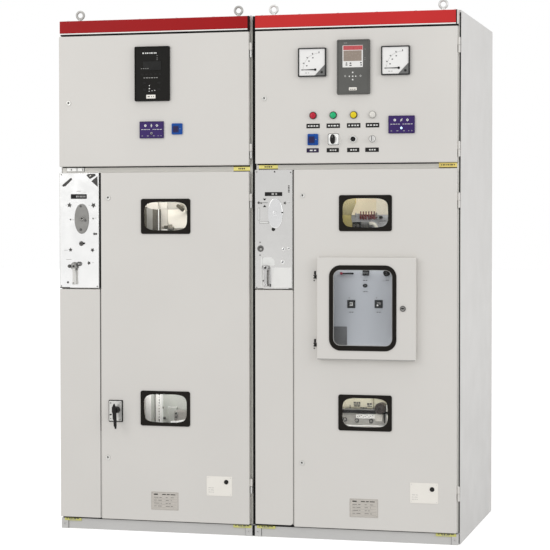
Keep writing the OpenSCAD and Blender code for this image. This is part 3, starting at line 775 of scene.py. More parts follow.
# fixed strip panels beside the lower doors
p = Piece("strip_panels", BODY, ("fixed_panels",), "body_paint")
p.add(tray(rect(-874, -690, 52, 1043, (3, 4, 3, 3)), F, 27, 2.6, 2.0), "body")
p.add(tray(rect(5, 168.5, 55, 1047, (3, 13, 3, 3)), F, 27, 2.6, 2.0), "body")
p.done()

# plinth fixings: a bolt in each corner foot, and the dark seam beside the foot
p = Piece("plinth_bolts", BODY)
for x, e in ((-858, -842.4), (-26.5, -40.6), (13.5, 27.6), (854.5, 840.4)):
    p.add(lathe(x, 22, [(0, F + 6.6), (2.6, F + 6.6), (3.6, F + 7.4), (3.6, F + 8.6), (5.4, F + 8.8), (5.4, F + 10.2)], 20), "plinth")
    p.add(lathe(x, 22, [(0, F + 6.4), (1.5, F + 6.4), (1.5, F + 6.8)], 12), "dark")
    p.add(rbox(e - 0.9, e + 0.9, F + 12.4, F + 14.4, 1, 44, 0.3, 1), "ink")
p.done()

# plain strips stuck on the rails and along the top of the plinths
p = Piece("marker_strips", BODY)
# white marker label in glowing white: painted light on a label in the rail's shade
p.add(plate(rect(-848, -771, 1552.4, 1567.0, 1.0, 2), P - 1.0, P, 0.3, 1), "glow_white")
for x0, x1, z0, z1 in ((-831, -825, 1556, 1563), (-807, -804.4, 1553, 1566.5), (-801, -798.6, 1553, 1566.5), (-778, -774, 1554, 1566)):
    p.add(rbox(x0, x1, P - 1.15, P - 0.8, z0, z1, 0.1, 1), "ink_mid")
p.add(rbox(-770.6, -767.6, P - 1.0, P, 1552, 1568, 0.3, 1), "ink")
p.add(rbox(-849, -768, P - 0.8, P, 1549.4, 1552.0, 0.3, 1), "ink_mid")
# yellow labels in glowing tape: painted light on labels in the rail's shade
for x0, x1, z0, z1 in ((-96, -24, 1548, 1567), (15, 98, 1555.5, 1573), (783, 858, 1555.5, 1577)):
    p.add(plate(rect(x0, x1, z0, z1, 1.0, 2), P - 0.9, P, 0.3, 1), "yellow" if x0 < 700 else "yellow_warm")
    w, zm = x1 - x0, (z0 + z1) / 2
    p.add(rbox(x0 - 0.5, x1 + 0.5, P - 1.1, P - 0.3, z0 - 1.6, z0 + 1.7, 0.2, 1), "black")
    p.add(rbox(x0 - 0.5, x1 + 0.5, P - 1.1, P - 0.3, z1 - 1.2, z1 + 1.6, 0.2, 1), "black")
    e = 0.30 if x0 < 700 else 0.12
    dashes(p, x0 + w * e, x1 - w * e, zm + 0.4, 6.0 if x0 < 700 else 4.4, P - 0.9, "ink", (2, 1, 2, 1, 3, 1, 2) if x0 < 700 else (1, 1, 2, 1, 1, 1, 2, 1, 3, 1, 1))
for x0, x1, z0, z1 in ((-859, -783, 35, 46), (-95, -15, 34.5, 46), (9, 89, 36, 47), (775, 860, 35, 46)):
    p.add(plate(rect(x0, x1, z0, z1, 1.0, 2), F + 9.0, F + 14, 0.3, 1), "yellow_dull")
    w = x1 - x0
    dashes(p, x0 + w * 0.10, x1 - w * 0.12, z1 - 2.2, 3.4, F + 9.0, "ink", (3, 2, 4, 1, 3, 2, 6, 1, 5))
    dashes(p, x0 + w * 0.30, x1 - w * 0.34, z0 + 4.4, 3.4, F + 9.0, "ink_mid", (2, 1, 3, 1, 2, 1, 2))
p.done()


# --------------------------------------------------------------------------- mechanism panels

def star(p, cx, cz, y, r=4.4, turn=0.0, mat="screw_dark"):
    """Small screw with a dark cross slot and a shadow ring."""
    # larger ones: a flat dark star with a dark centre, the slots and shade of a screw head painted on
    if r > 5 and mat == "screw_dark":
        ps = [(cx + r * q * math.cos(t), cz + r * q * math.sin(t)) for q, t in
              [((1.24, 0.62)[k % 2], math.radians(turn + 36 * k)) for k in range(10)]]
        p.add(plate(poly(*ps), y - 2.0, y, 0.3, 1), "gusset")
        p.add(lathe(cx + 0.4, cz + 0.4, [(0, y - 2.6), (r * 0.22, y - 2.5), (r * 0.28, y - 2.0)], 14), "hub_dark")
        return
    p.add(lathe(cx, cz, [(r * 1.0, y - 0.35), (r * 1.2, y - 0.2), (r * 1.2, y)], 20), "plate_grey")
    screw(p, cx, cz, y - 0.2, r, 2.4, mat, "cross", turn)


def inlay(p, mat, y, *ps):
    """Thin polished inlay; its corners may run either way round."""
    a = sum(ps[i][0] * ps[(i + 1) % len(ps)][1] - ps[(i + 1) % len(ps)][0] * ps[i][1] for i in range(len(ps)))
    ps = ps if a > 0 else ps[::-1]
    p.add(plate(poly(*ps), y, y + 0.3, 0), mat)


p = Piece("operating_plate_pair", BODY, ("operating_plates",), "zinc_steel")
# left: grey oval with a rim, a hub and two bolts
cx, cz = -771, 1347
p.add(plate(superell(cx, cz, 64, 127, 2.1, 56), F - 5, F, 1.6, 3), "oval_grey")
p.add(frame_tube(superell(cx, cz, 66, 129.5, 2.1, 56), superell(cx, cz, 62.5, 125, 2.1, 56), F - 2.2, F, 0.6, 1), "ink_mid")
p.add(lathe(cx + 5, cz + 1, [(0, F - 12), (4.0, F - 12), (4.4, F - 14), (7.5, F - 14.6), (8.6, F - 13), (9.6, F - 8), (12.5, F - 6.8), (13.2, F - 5.8), (13.2, F - 4)], 32), "lever_steel")
p.add(lathe(cx + 5, cz + 1, [(4.2, F - 12.2), (4.2, F - 11.4)], 6), "dark")
p.add(lathe(cx + 18, cz - 7, [(0, F - 7.6), (4.0, F - 7.4), (5.4, F - 6.4), (5.6, F - 4.8)], 20), "hub_dark")
for x, z, r in ((-774.5, 1401, 3.8), (-774.5, 1300, 4.6)):
    for g in hexbolt(x, z, F - 5, r, 2.4, 1.25, 0.4):
        p.add(g, "hub_dark")
# right: polished oval
cx, cz = OP_R
p.add(plate(superell(cx, cz, 64, 127, 2.1, 56), F - 5, F, 3.0, 5), "chrome")
p.add(lathe(cx, cz, [(0, F - 13), (4.4, F - 13), (5.0, F - 14.4), (7.0, F - 14.6), (8.2, F - 12), (8.6, F - 7), (10.4, F - 6.2), (10.8, F - 4.6)], 28), "chrome")
for x, z, r in ((85, 1302, 6.2), (cx + 30, cz + 3, 2.6)):
    for g in hexbolt(x, z, F - 0.2 if r > 3 else F - 4.2, r, 2.4, 1.25, 0.4):
        p.add(g, "dark")
p.done()

# left panel
p = Piece("left_mechanism_cover", BODY, ("left_mechanism_panel",), "stainless")
p.add(tray(rect(-874, -693, 1047, 1546, 2.0), F, 27, 1.6, 2.0), "inox_white")
p.add(frame_tube(rect(-873.4, -693.6, 1047.6, 1545.4, 2.0), rect(-871.6, -695.4, 1049.4, 1543.6, 1.6), F - 0.5, F + 0.2, 0.2, 1), "dull_chrome")
# black scale plate with plain marks
p.add(plate(rect(-821, -748, 1433, 1453.5, 3.0), F - 1.4, F, 0.5, 1), "black")
dashes(p, -796, -754, 1443, 7.6, F - 1.4, "inlay_mid", (3, 2, 2, 2, 3, 2, 2, 2, 2))
dashes(p, -794, -776, 1466, 3.0, F, "ink_pale", (2, 1, 2, 1, 3))
dashes(p, -768, -748, 1462, 1.2, F, "ink_pale", (1,))
for x, z, t, r in ((-827.5, 1406, 10, 9.2), (-717.5, 1405, 48, 9.6), (-823, 1344, 80, 3.4), (-719, 1348, 5, 3.4), (-714, 1282, 30, 5.6), (-705, 1282, 30, 4.0),
                   (-823.5, 1213, 20, 7.4), (-722.5, 1212, 65, 7.8), (-739, 1156, 40, 7.2), (-836, 1072, 12, 4.4),
                   (-864, 1538, 45, 2.6), (-866, 1056, 45, 2.6), (-701, 1055, 45, 2.8)):
    star(p, x, z, F, r, t, "screw_dark" if r > 3.4 else "lever_steel")
for x, z, w in ((-843, 1406, 6), (-737, 1405, 5), (-811, 1343, 9), (-708, 1350, 8), (-845, 1211, 16), (-706, 1213, 4), (-721, 1158, 6), (-832, 1171, 26)):
    p.add(rbox(x - w / 2, x + w / 2, F - 0.4, F + 0.1, z - 0.8, z + 0.8, 0.1, 1), "ink_mid")
# position indicator
p.add(lathe(-773.5, 1240, [(0, F - 6), (3.4, F - 6), (3.6, F - 7), (7.6, F - 6), (9.2, F - 3.5), (9.2, F - 1.5), (10.6, F - 1.2), (10.6, F)], 28), "hub_dark")
p.add(rbox(-765, -757.5, F - 4.5, F, 1237, 1244.6, 1.2, 2), "black")
p.add(rbox(-777, -770, F - 7.3, F - 6.4, 1239, 1241, 0.2, 1), "dark")
# slanted dark bar, two dark plates and a small white fleck in the corner
inlay(p, "gusset", F - 1.2, (-861, 1492), (-856, 1485.6), (-846, 1488), (-823, 1509), (-815.4, 1516.6), (-817.5, 1523.6), (-823, 1522), (-834, 1513.4), (-848, 1503))
inlay(p, "gusset", F - 0.8, (-749, 1534), (-743, 1539.6), (-731, 1540.6), (-709, 1540.6), (-706.5, 1533), (-719, 1526), (-733, 1518))
inlay(p, "card", F - 0.95, (-736, 1531), (-729.5, 1536), (-727, 1534), (-733, 1528.6))
inlay(p, "gusset", F - 0.8, (-699, 1530), (-697.6, 1484), (-727, 1509))
# dark keeper along the lower edge
p.add(plate(rect(-872, -826, 1046.6, 1051.6, 1.0), F - 0.8, F, 0.3, 1), "hub_dark")
p.add(plate(rect(-824, -697, 1047.4, 1049.8, 0.6), F - 0.7, F, 0.2, 1), "ink_pale")
# lock cylinder and ring beside the lever
p.add(lathe(-828, 1142, [(0, F - 12), (3.4, F - 12), (5.4, F - 11), (6.2, F - 8), (6.2, F - 3), (8, F - 2.4), (8, F)], 26), "hub_dark")
p.add(lathe(-804, 1142, [(12.4, F - 3.4), (17.5, F - 3.2), (18.6, F - 2.2), (18.6, F)], 36), "lever_steel")
p.add(torus((-783, F - 9, 1152), 7.6, 2.2, 30, 10), "hub_dark")
p.add(lathe(-783, 1152, [(0, F - 8), (4.6, F - 8), (5.6, F - 7), (5.6, F)], 20), "ink_pale")
p.done()

# right panel: polished sheet
p = Piece("right_mechanism_cover", BODY, ("right_mechanism_panel",), "stainless")
p.add(tray(rect(5, 168, 1051, 1552, 2.0), F, 27, 1.6, 2.0), "inox")
p.add(frame_tube(rect(5.4, 167.6, 1051.4, 1551.6, 2.0), rect(7.2, 165.8, 1053.2, 1549.8, 1.6), F - 0.5, F + 0.2, 0.2, 1), "dull_chrome")
# black scale plate with plain marks
p.add(plate(rect(48, 123.5, 1441.5, 1458, 1.2), F - 1.4, F, 0.5, 1), "black")
dashes(p, 78, 101, 1450, 8, F - 1.4, "ink_pale", (3, 2, 2))
for x, z, t, r, m in ((21.5, 1413.5, 15, 5.8, "screw_dark"), (32, 1412, 30, 3.4, "screw_dark"), (135, 1412, 70, 5.6, "screw_dark"), (152, 1416, 20, 3.4, "chrome"),
                      (13, 1543, 45, 2.4, "lever_steel"), (160, 1540, 45, 2.6, "screw_dark"), (90.5, 1543, 0, 3.0, "dark"), (12, 1057, 45, 2.4, "lever_steel"),
                      (128.7, 1218.5, 20, 7.2, "chrome"), (152.3, 1222, 60, 6.4, "chrome"), (125, 1164, 35, 8.0, "chrome")):
    star(p, x, z, F - 0.3, r, t, m)
for ps in (((39, 1431), (55, 1431), (47, 1422.5)), ((39, 1395), (55, 1395), (47, 1404.5))):
    inlay(p, "black", F - 0.5, *ps)
p.add(rbox(36, 60, F - 0.5, F + 0.1, 1412.4, 1414.4, 0.1, 1), "ink")
for k in range(5):
    p.add(rbox(148.5, 155.5, F - 0.75, F - 0.2, 1456 + k * 6.4, 1460.2 + k * 6.4, 0.1, 1), "gusset")
# raised pale bars of the mimic line
for x0, x1, z0, z1 in ((19.5, 24.5, 1341, 1391), (26, 64, 1328.4, 1333.4)):
    p.add(rbox(x0, x1, F - 1.0, F, z0, z1, 0.4, 1), "ink_white")
    p.add(rbox(x0 - 1.8, x1 + 1.8, F - 0.5, F, z0 - 2.0, z1 + 1.6, 0.1, 1), "ink_mid")
# round plate with two screws
p.add(lathe(29, 1220.5, [(0, F - 4), (6, F - 4), (7, F - 3), (12.5, F - 2.6), (13.8, F - 1.8), (13.8, F)], 30), "screw_dark")
p.add(lathe(31, 1218, [(0, F - 5.6), (4.2, F - 5.4), (5.2, F - 4.0)], 20), "plate_grey")
p.add(rbox(23, 35, F - 4.4, F - 3.6, 1223, 1225, 0.2, 1), "dark")
for z in (1247, 1193):
    screw(p, 27, z, F, 3.4, 1.8, "lever_steel")
# bright domes of the bolts on the right
for x, z, r in ((128.7, 1218.5, 9.6), (152.3, 1222, 8.4), (125, 1164, 11)):
    p.add(lathe(x, z, [(r * 0.8, F - 1.4), (r, F - 1.0), (r, F - 0.2)], 26), "lock_face")
# lever bracket: round-topped white cheek with upright bars
p.add(plate(rect(36.5, 90, 1149, 1184, (2, 6, 20, 12)), F - 0.4, F, 0.2, 1), "ink_white")
p.add(rbox(30, 36.4, F - 3, F, 1062, 1183, 1.2, 2), "ink_white")
p.add(rbox(66, 73, F - 1.0, F, 1058, 1141, 0.5, 1), "inlay_mid")
p.add(rbox(44, 50, F - 1.0, F, 1058, 1141, 0.5, 1), "inlay_light")
p.add(rbox(69, 74, F - 1.4, F - 0.6, 1060, 1072, 0.3, 1), "dark")
for x, z in ((41, 1146), (41, 1085)):
    star(p, x, z, F, 3.0, 20, "screw_dark")
# white card at the foot
p.add(plate(rect(78, 163, 1057, 1141, 1.5), F - 1.0, F, 0.3, 1), "white")
p.add(plate(rect(150, 166, 1051.6, 1055, 0.6), F - 0.8, F, 0.3, 1), "inlay_dark")
p.add(plate(rect(8, 42, 1051.4, 1053.6, 0.6), F - 0.7, F, 0.2, 1), "inlay_dark")
p.done()


def lever(name, node, cx, cz, hub, arm):
    """Interlock lever: turned boss, flat arm with a round grip at its end."""
    q = Piece(name, node, (node,), "chrome")
    q.add(lathe(cx, cz, [(0, F - 20.4), (5.0, F - 20.4), (5.6, F - 21.8), (9, F - 21), (11.2, F - 19.4), (12, F - 17), (12, F - 1.4), (11, F - 0.5)], 32), hub)
    q.add(loft([(cz - 4, cx, F - 17.5, 7.2, 3.2), (cz - 14, cx, F - 17.5, 6.6, 3.3), (cz - 40, cx, F - 17.5, 5.4, 3.2),
                (cz - 62, cx, F - 17.8, 5.6, 3.4), (cz - 70, cx, F - 18, 6.4, 3.6), (cz - 75, cx, F - 18, 5.2, 3.2)], 20, 3.0), arm)
    q.add(lathe(cx, cz - 72, [(0, F - 23.6), (4.5, F - 23.4), (7, F - 22.2), (8, F - 20), (8, F - 15), (6.6, F - 13.2)], 26), arm)
    q.add(lathe(cx, cz - 72, [(2.6, F - 23.9), (3.4, F - 23.9), (3.6, F - 23.4)], 16), hub)
    q.add(lathe(cx, cz, [(4.8, F - 20.7), (4.8, F - 20)], 6), "dark")
    q.done()


lever("left_lever", "left_interlock_lever", -802, 1142, "lever_steel", "lock_face")
lever("right_lever", "right_interlock_lever", 55, 1140, "inlay_mid", "inlay_light")


# --------------------------------------------------------------------------- doors

WIN = {"L": ((-390.5, 1357), (-394, 534.5)), "R": ((479.5, 1369), (478.5, 538))}
WIN_CUT = {k: [crect(x, z, 204, 132, 8) for x, z in v] for k, v in WIN.items()}


def door_seal(p, x0, x1, z0, z1, y):
    """Foam seal round the back of a door, inside its lips."""
    p.add(frame_tube(rect(x0 + 2.4, x1 - 2.4, z0 + 2.4, z1 - 2.4, 2), rect(x0 + 14, x1 - 14, z0 + 14, z1 - 14, 2), y, y + 2.2, 0.3, 1), "foam")


def stiffener(p, x0, x1, z0, z1, y):
    """Folded channel on the back of a door."""
    p.add(rbox(x0, x1, y, y + 14, z0, z1, 1.5, 2), "rail")


def card(p, cx, cz, w, h, dx, dz, y=F):
    """White card with a black push knob, small corner screws and faint ruled lines."""
    p.add(plate(crect(cx, cz, w, h, 2.0), y - 1.4, y, 0.5, 2), "card")
    p.add(lathe(dx, dz, [(0, y - 5.4), (5, y - 5.2), (8, y - 4.2), (9.6, y - 2.6), (10, y - 1.4)], 28), "black")
    p.add(lathe(dx, dz, [(0, y - 5.7), (2.4, y - 5.6), (2.6, y - 5.2)], 16), "dark")
    for sx in (-1, 1):
        for sz in (-1, 1):
            screw(p, cx + sx * (w / 2 - 6), cz + sz * (h / 2 - 6), y - 1.4, 1.9, 0.8, "white", "slot", 30)
    for k, pat in enumerate(((5, 1, 3), (2, 1, 4), (4, 1, 2, 1, 2))):
        dashes(p, cx - w / 2 + 8, cx - w / 2 + 32, cz - 8 - k * 9, 1.6, y - 1.4, "ink_pale", pat)


def nameplate(p, cx, cz, w, h, y=F):
    """Blank aluminium rating plate: raised rim, four rivets, ruled lines."""
    p.add(plate(crect(cx, cz, w, h, 2.0), y - 1.0, y, 0.4, 1), "alu")
    p.add(frame_tube(crect(cx, cz, w - 5, h - 5, 1.5), crect(cx, cz, w - 6.4, h - 6.4, 1.2), y - 1.25, y - 0.9, 0.1, 1), "ink_mid")
    for sx in (-1, 1):
        for sz in (-1, 1):
            p.add(lathe(cx + sx * (w / 2 - 6.5), cz + sz * (h / 2 - 6.5), [(0, y - 2.4), (1.5, y - 2.2), (2.2, y - 1.0)], 14), "alu")
    dashes(p, cx - w / 2 + 12, cx - w / 2 + 30, cz + h / 2 - 11, 5.0, y - 1.0, "black", (1,))
    dashes(p, cx - 12, cx + w / 2 - 14, cz + h / 2 - 11, 3.6, y - 1.0, "black", (4, 1, 3, 1, 5))
    for k in range(4):
        z = cz + h / 2 - 24 - k * 12.5
        dashes(p, cx - w / 2 + 12, cx - 14, z, 1.8, y - 1.0, "ink", ((4, 1, 2), (3, 1, 4), (5, 1, 1), (2, 1, 3))[k])
        dashes(p, cx + 4, cx + w / 2 - 12, z, 1.8, y - 1.0, "ink", ((2, 3, 3, 2), (3, 2, 1, 4), (2, 1, 2, 5), (4, 1, 2, 3))[k])
        p.add(rbox(cx - w / 2 + 9, cx + w / 2 - 9, y - 1.12, y - 0.9, z - 6.3, z - 5.9, 0), "ink")


# left instrument door
LID = "left_instrument_door"
p = Piece("left_upper_door", BODY, (LID,), "body_paint")
p.add(tray(rect(-874, -22, 1572, 2133, 3.0), F, 22, 3.0, 2.0, 16), "body")
door_half(p, "L", INS_H, -22)
p.done()
p = Piece("left_upper_door_fittings", BODY)
camlock(p, -829, 1845, F)
door_seal(p, -874, -22, 1572, 2133, F + 19.6)
stiffener(p, -800, -90, 1620, 1646, F + 2)
p.add(rbox(-835, -823, F + 2, F + 20, 1834, 1856, 2), "zinc")
p.add(rbox(-862, -823, F + 14, F + 17, 1838, 1852, 1), "zinc")
p.done()

# left lower door
LLD = "left_lower_door"
p = Piece("left_cable_door", LLD, (LLD,), "body_paint")
p.add(tray(rect(-684, -22, 50, 1545, 3.0), F, 22, 3.0, 2.0, 16, WIN_CUT["L"]), "body")
door_half(p, "L", LOW_H, -22)
p.add(rbox(-686.2, -684.2, F + 1.6, F + 20, 54, 1043, 0.6, 1), "body")
p.done()
p = Piece("left_cable_door_fittings", LLD)
camlock(p, -650, 1437, F)
camlock(p, -654.5, 316.5, F)
for z in (1436, 316):
    p.add(rbox(-664, -640, F + 2, F + 18, z - 9, z + 9, 2), "zinc")
    p.add(rbox(-680, -650, F + 15, F + 18, z - 6, z + 6, 1), "zinc")
door_seal(p, -684, -22, 50, 1545, F + 19.6)
for z in (240, 800, 1180):
    stiffener(p, -640, -60, z, z + 26, F + 2)
card(p, -154, 209.5, 112, 83, -123, 228)
nameplate(p, -397.5, 137, 123, 78)
p.done()

# right instrument door
RID = "right_instrument_door"
p = Piece("right_upper_door", BODY, (RID,), "body_paint")
p.add(tray(rect(6, 862, 1577, 2133, 3.0), F, 22, 3.0, 2.0, 16), "body")
door_half(p, "R", INS_H, 862)
p.done()
p = Piece("right_upper_door_fittings", BODY)
camlock(p, 46.5, 1851, F)
door_seal(p, 6, 862, 1577, 2133, F + 19.6)
p.add(rbox(40, 52, F + 2, F + 20, 1840, 1862, 2), "zinc")
p.add(rbox(12, 52, F + 14, F + 17, 1844, 1858, 1), "zinc")
for x, k in ((257, 0), (343, 1), (430, 2), (509.5, 3)):
    p.add(plate(crect(x, 1732.5, 57, 19, 1.2), F - 1.2, F, 0.4, 1), "black")
    dashes(p, x - 22, x + 22, 1732.5, 5.4, F - 1.2, "ink_white", ((3, 2, 4, 2, 3, 2, 4), (4, 2, 3, 2, 5, 2, 3), (3, 3, 4, 2, 3, 2, 4), (4, 2, 4, 3, 4, 2, 3))[k])
    p.add(plate(crect(x - 2, 1631, 52 if k < 3 else 57, 18, 1.2), F - 1.2, F, 0.4, 1), "black" if k else "violet_dark")
    dashes(p, x - 14, x + 13, 1631, 5.2, F - 1.2, "ink_white", ((4, 2, 3), (3, 2, 2, 2, 3), (4, 2, 3, 2, 3), (3, 2, 3, 2, 3))[k])
p.done()

# right lower door
RLD = "right_lower_door"
p = Piece("right_cable_door", RLD, (RLD,), "body_paint")
p.add(tray(rect(174, 862, 50, 1551, 3.0), F, 22, 3.0, 2.0, 16, WIN_CUT["R"] + [rect(305, 650, 785, 1165, 2.0)]), "body")
door_half(p, "R", LOW_H, 862)
p.add(rbox(172.4, 173.9, F + 1.6, F + 20, 54, 1547, 0.6, 1), "body")
for z in (812, 1096):
    knuckle(p, 269, F - 15, z, z + 15, mat="black")
    p.add(rbox(267, 271, F - 15, F + 1, z + 0.5, z + 14.5, 0.5), "dull_chrome")
    p.add(rbox(255, 272, F - 1.6, F + 0.4, z - 3, z + 18, 0.6), "body")
    pip(p, 261.5, z - 8, F, 3.2, "hub_dark", 16, 1.2)
    for dz in (2, 13):
        screw(p, 260, z + dz, F - 1.6, 2.3, 1.2, "dark")
p.done()
p = Piece("right_cable_door_fittings", RLD)
camlock(p, 211.5, 1443, F)
camlock(p, 208.5, 321, F)
for x, z in ((211, 1442), (204, 317)):
    p.add(rbox(x - 10, x + 10, F + 2, F + 18, z - 9, z + 9, 2), "zinc")
    p.add(rbox(x - 30, x, F + 15, F + 18, z - 6, z + 6, 1), "zinc")
door_seal(p, 174, 862, 50, 1551, F + 19.6)
for z in (240, 650, 1215):
    stiffener(p, 215, 820, z, z + 26, F + 2)
card(p, 727.5, 212, 117, 84, 761, 229)
nameplate(p, 473.5, 140, 121, 78)
p.add(frame_tube(rect(298, 657, 778, 1172, 6), rect(306, 649, 786, 1164, 3), F - 1.4, F, 0.5, 1), "foam")
p.done()

# window frames with a barrel-shaped opening
for side, body in (("L", LLD), ("R", RLD)):
    nm = "left" if side == "L" else "right"
    p = Piece(nm + "_window_rims", body, (nm + "_window_frames",), "black_rubber")
    for k, (x, z) in enumerate(WIN[side]):
        hole = superell(x, z + 0.8, 193, 121, 4.3, 72)
        p.add(frame_tube(crect(x, z, (221, 222)[k] if side == "L" else (224, 227)[k], 150, 9, 5), hole, F - 5, F, 2.0, 3), "black_rubber")
        p.add(frame_tube(crect(x, z, 203, 131, 8, 5), superell(x, z + 0.8, 198, 125, 4.6, 72), F, F + 12, 0.4, 1), "black_rubber")
    p.done()
for n in ("left_window_panes", "right_window_panes"):
    nodes[n].data.materials.clear()
    nodes[n].data.materials.append(M["pane"])

# inspection door
ID = "inspection_door"
idf = F - 27.0
p = Piece("glazed_door", ID, (ID,), "body_paint")
p.add(tray(rect(279, 696, 760, 1185, 3.0), idf, 22, 2.6, 2.0, 14, [crect(473.5, 975.5, 271, 341, 41, 8)]), "body")
for z in (812, 1096):
    knuckle(p, 269, F - 15, z + 16, z + 31, mat="black")
    p.add(rbox(269, 282, F - 17, F - 13, z + 16.5, z + 30.5, 0.6), "body")
    p.add(lathe(269, 0, [(0, z + 32.4), (2.6, z + 32.3), (3.2, z + 31.6), (3.2, z + 30.6)], 16, "Z", cy=F - 15), "dark")
p.done()
p = Piece("glazed_door_fittings", ID)
ringlock(p, 643, 975, idf)
p.add(rbox(281, 694, idf - 0.25, idf + 0.3, 760.6, 763.4, 0.1, 1), "ink_mid")
p.add(rbox(633, 653, idf + 2, idf + 18, 966, 984, 2), "zinc")
p.add(rbox(640, 690, idf + 13, idf + 16, 970, 980, 1), "zinc")
p.done()
p = Piece("glazed_door_seal", ID, ("inspection_gasket",), "black_rubber")
gh = crect(473.5, 976.4, 250, 314.8, 30, 8)
p.add(frame_tube(crect(473.5, 975.5, 285, 355, 48, 10), gh, idf - 4, idf + 4.6, 3.0, 4), "black_rubber")
p.add(frame_tube(crect(473.5, 975.5, 270, 340, 40, 8), crect(473.5, 975.5, 258, 328, 34, 8), idf, idf + 12, 0.4, 1), "black_rubber")
p.add(frame_tube(crect(473.5, 976.4, 250.6, 315.4, 30, 8), crect(473.5, 976.4, 246.6, 311.4, 28.4, 8), idf - 0.5, idf + 3, 0.6, 2), "ink_pale")
p.done()
nodes["inspection_pane"].data.materials.clear()
nodes["inspection_pane"].data.materials.append(M["pane_big"])


# --------------------------------------------------------------------------- devices on the doors

def relay_case(p, cx, cz, w, h, mat, back):
    """Panel relay: rimmed front, recessed face and a housing behind the door."""
    p.add(plate(crect(cx, cz, w, h, 6), F - 11, F, 3.0, 3), mat)
    p.add(frame_tube(crect(cx, cz, w - 4, h - 4, 5), crect(cx, cz, w - 12, h - 12, 4), F - 13.4, F - 10.5, 1.0, 2), mat)
    p.add(rbox(cx - w / 2 + 9, cx + w / 2 - 9, F + 3, F + 108, cz - h / 2 + 10, cz + h / 2 - 10, 3, 2), "relay_grey")
    for k in range(3):
        p.add(rbox(cx - w / 2 + 18 + k * (w - 36) / 3, cx - w / 2 + 14 + (k + 1) * (w - 36) / 3, F + 107, F + 110, cz - h / 2 + 26, cz + h / 2 - 26, 1, 1), "black")


def violet_unit(p, x0, x1, z0, z1, glow):
    """Live-line display: violet front, three round and square windows, bars and a pilot light."""
    cx, cz, w, h = (x0 + x1) / 2, (z0 + z1) / 2, x1 - x0, z1 - z0
    y = F - 7
    p.add(plate(rect(x0, x1, z0, z1, 3), y, F, 1.4, 2), "violet")
    p.add(frame_tube(rect(x0 + 1.6, x1 - 1.6, z0 + 1.6, z1 - 1.6, 2.4), rect(x0 + 3, x1 - 3, z0 + 3, z1 - 3, 2), y - 0.3, y + 0.3, 0.1, 1), "violet_dark")
    zt = cz + h * 0.25
    pip(p, cx - w * 0.25, zt, y, 5.2, "ink_white")
    pip(p, cx - w * 0.25, zt, y - 0.8, 1.6, "violet_dark", 12, 0.2)
    pip(p, cx, zt, y, 4.4, "ink_pale")
    p.add(spun(rbox(cx - 1.1, cx + 1.1, y - 1.1, y, zt - 7, zt + 7, 0.2, 1), cx, zt, 0 if not glow else -32), "ink_white")
    p.add(spun(rbox(cx + w * 0.23 - 4.4, cx + w * 0.23 + 4.4, y - 0.8, y, zt - 4.4, zt + 4.4, 0.4, 1), cx + w * 0.23, zt, 45), "ink_white")
    p.add(lathe(cx + w * 0.23, zt, [(0, y - 1.0), (1.9, y - 1.0), (1.9, y - 0.7)], 12), "violet_dark")
    dashes(p, x0 + w * 0.08, x0 + w * 0.44, cz + h * 0.02, 2.0, y, "ink_white", (3, 1, 4, 1, 2, 1, 3))
    dashes(p, cx + w * 0.05, x1 - w * 0.07, cz + h * 0.02, 2.0, y, "ink_white", (2, 1, 3, 1, 4, 1, 3))
    pip(p, cx, cz - h * 0.20, y, 5.0, "glow" if glow else "ink_pale", 20, 2.0 if glow else 0.8)
    if not glow:
        pip(p, cx, cz - h * 0.20, y - 0.8, 3.0, "violet_dark", 16, 0.3)
        p.add(rbox(cx - 8, cx + 6, y - 0.5, y, z0 + 13, z0 + 17, 0.4, 1), "violet_dark")
    for fx, fw in ((0.12, 6), (0.35, 8), (0.60, 7), (0.78, 4), (0.90, 4)):
        p.add(rbox(x0 + w * fx - fw / 2, x0 + w * fx + fw / 2, y - 0.3, y + 0.1, z0 + 9, z0 + 11.4, 0), "ink_pale")
    p.add(rbox(x0 + 4, x1 - 4, F + 3, F + 40, z0 + 4, z1 - 4, 2, 1), "black")


def blue_unit(p, cx, cz, w, h):
    """Blue plug module with a dark key field and a small white lamp."""
    p.add(plate(crect(cx, cz, w, h, 3), F - 7, F, 1.3, 2), "blue")
    p.add(plate(crect(cx - 5, cz - 1, 22, 24, 2), F - 8.2, F - 6.8, 0.5, 1), "blue_dark")
    p.add(frame_tube(crect(cx - 5, cz - 1, 27, 29, 2.4), crect(cx - 5, cz - 1, 24.5, 26.5, 2.2), F - 7.3, F - 6.8, 0.1, 1), "violet_dark")
    pip(p, cx + 14, cz, F - 7, 1.7, "ink_pale")
    p.add(rbox(cx - 18, cx + 18, F + 3, F + 40, cz - 18, cz + 18, 2, 1), "black")


# left devices
p = Piece("left_relay_and_displays", BODY, ("left_panel_devices",), "black_plastic")
cx, cz = -447.5, 1964.5
relay_case(p, cx, cz, 157, 233, "relay_black", True)
yf = F - 11
p.add(plate(rect(-487, -405, 1979, 2018, 2.5), yf - 0.9, yf + 0.2, 0.4, 1), "screen_dark")
p.add(frame_tube(rect(-489, -403, 1977, 2020, 3), rect(-487, -405, 1979, 2018, 2.5), yf - 1.3, yf + 0.2, 0.4, 1), "relay_black")
dashes(p, -489, -426, 2052, 5.4, yf, "ink_white", (3, 2, 2, 1, 3, 2, 2, 1, 3, 2, 2, 1, 2))
for z in (2041, 2031, 2024):
    pip(p, -423, z, yf, 1.5, "ink_pale", 10, 0.5)
dashes(p, -496, -461, 1986.5, 2.0, yf - 1.3, "ink_mid", (3, 2, 3, 2, 3, 2, 3))
dashes(p, -484, -421, 1947, 2.4, yf, "ink_pale", (2, 1, 3, 1, 2, 1, 3, 1, 2, 1, 2))
for x, z, r in ((-458, 1914, 2.2), (-458, 1901, 2.8), (-446, 1892, 2.0), (-434, 1893, 2.0), (-459, 1890, 2.0)):
    pip(p, x, z, yf, r, "ink_white", 14)
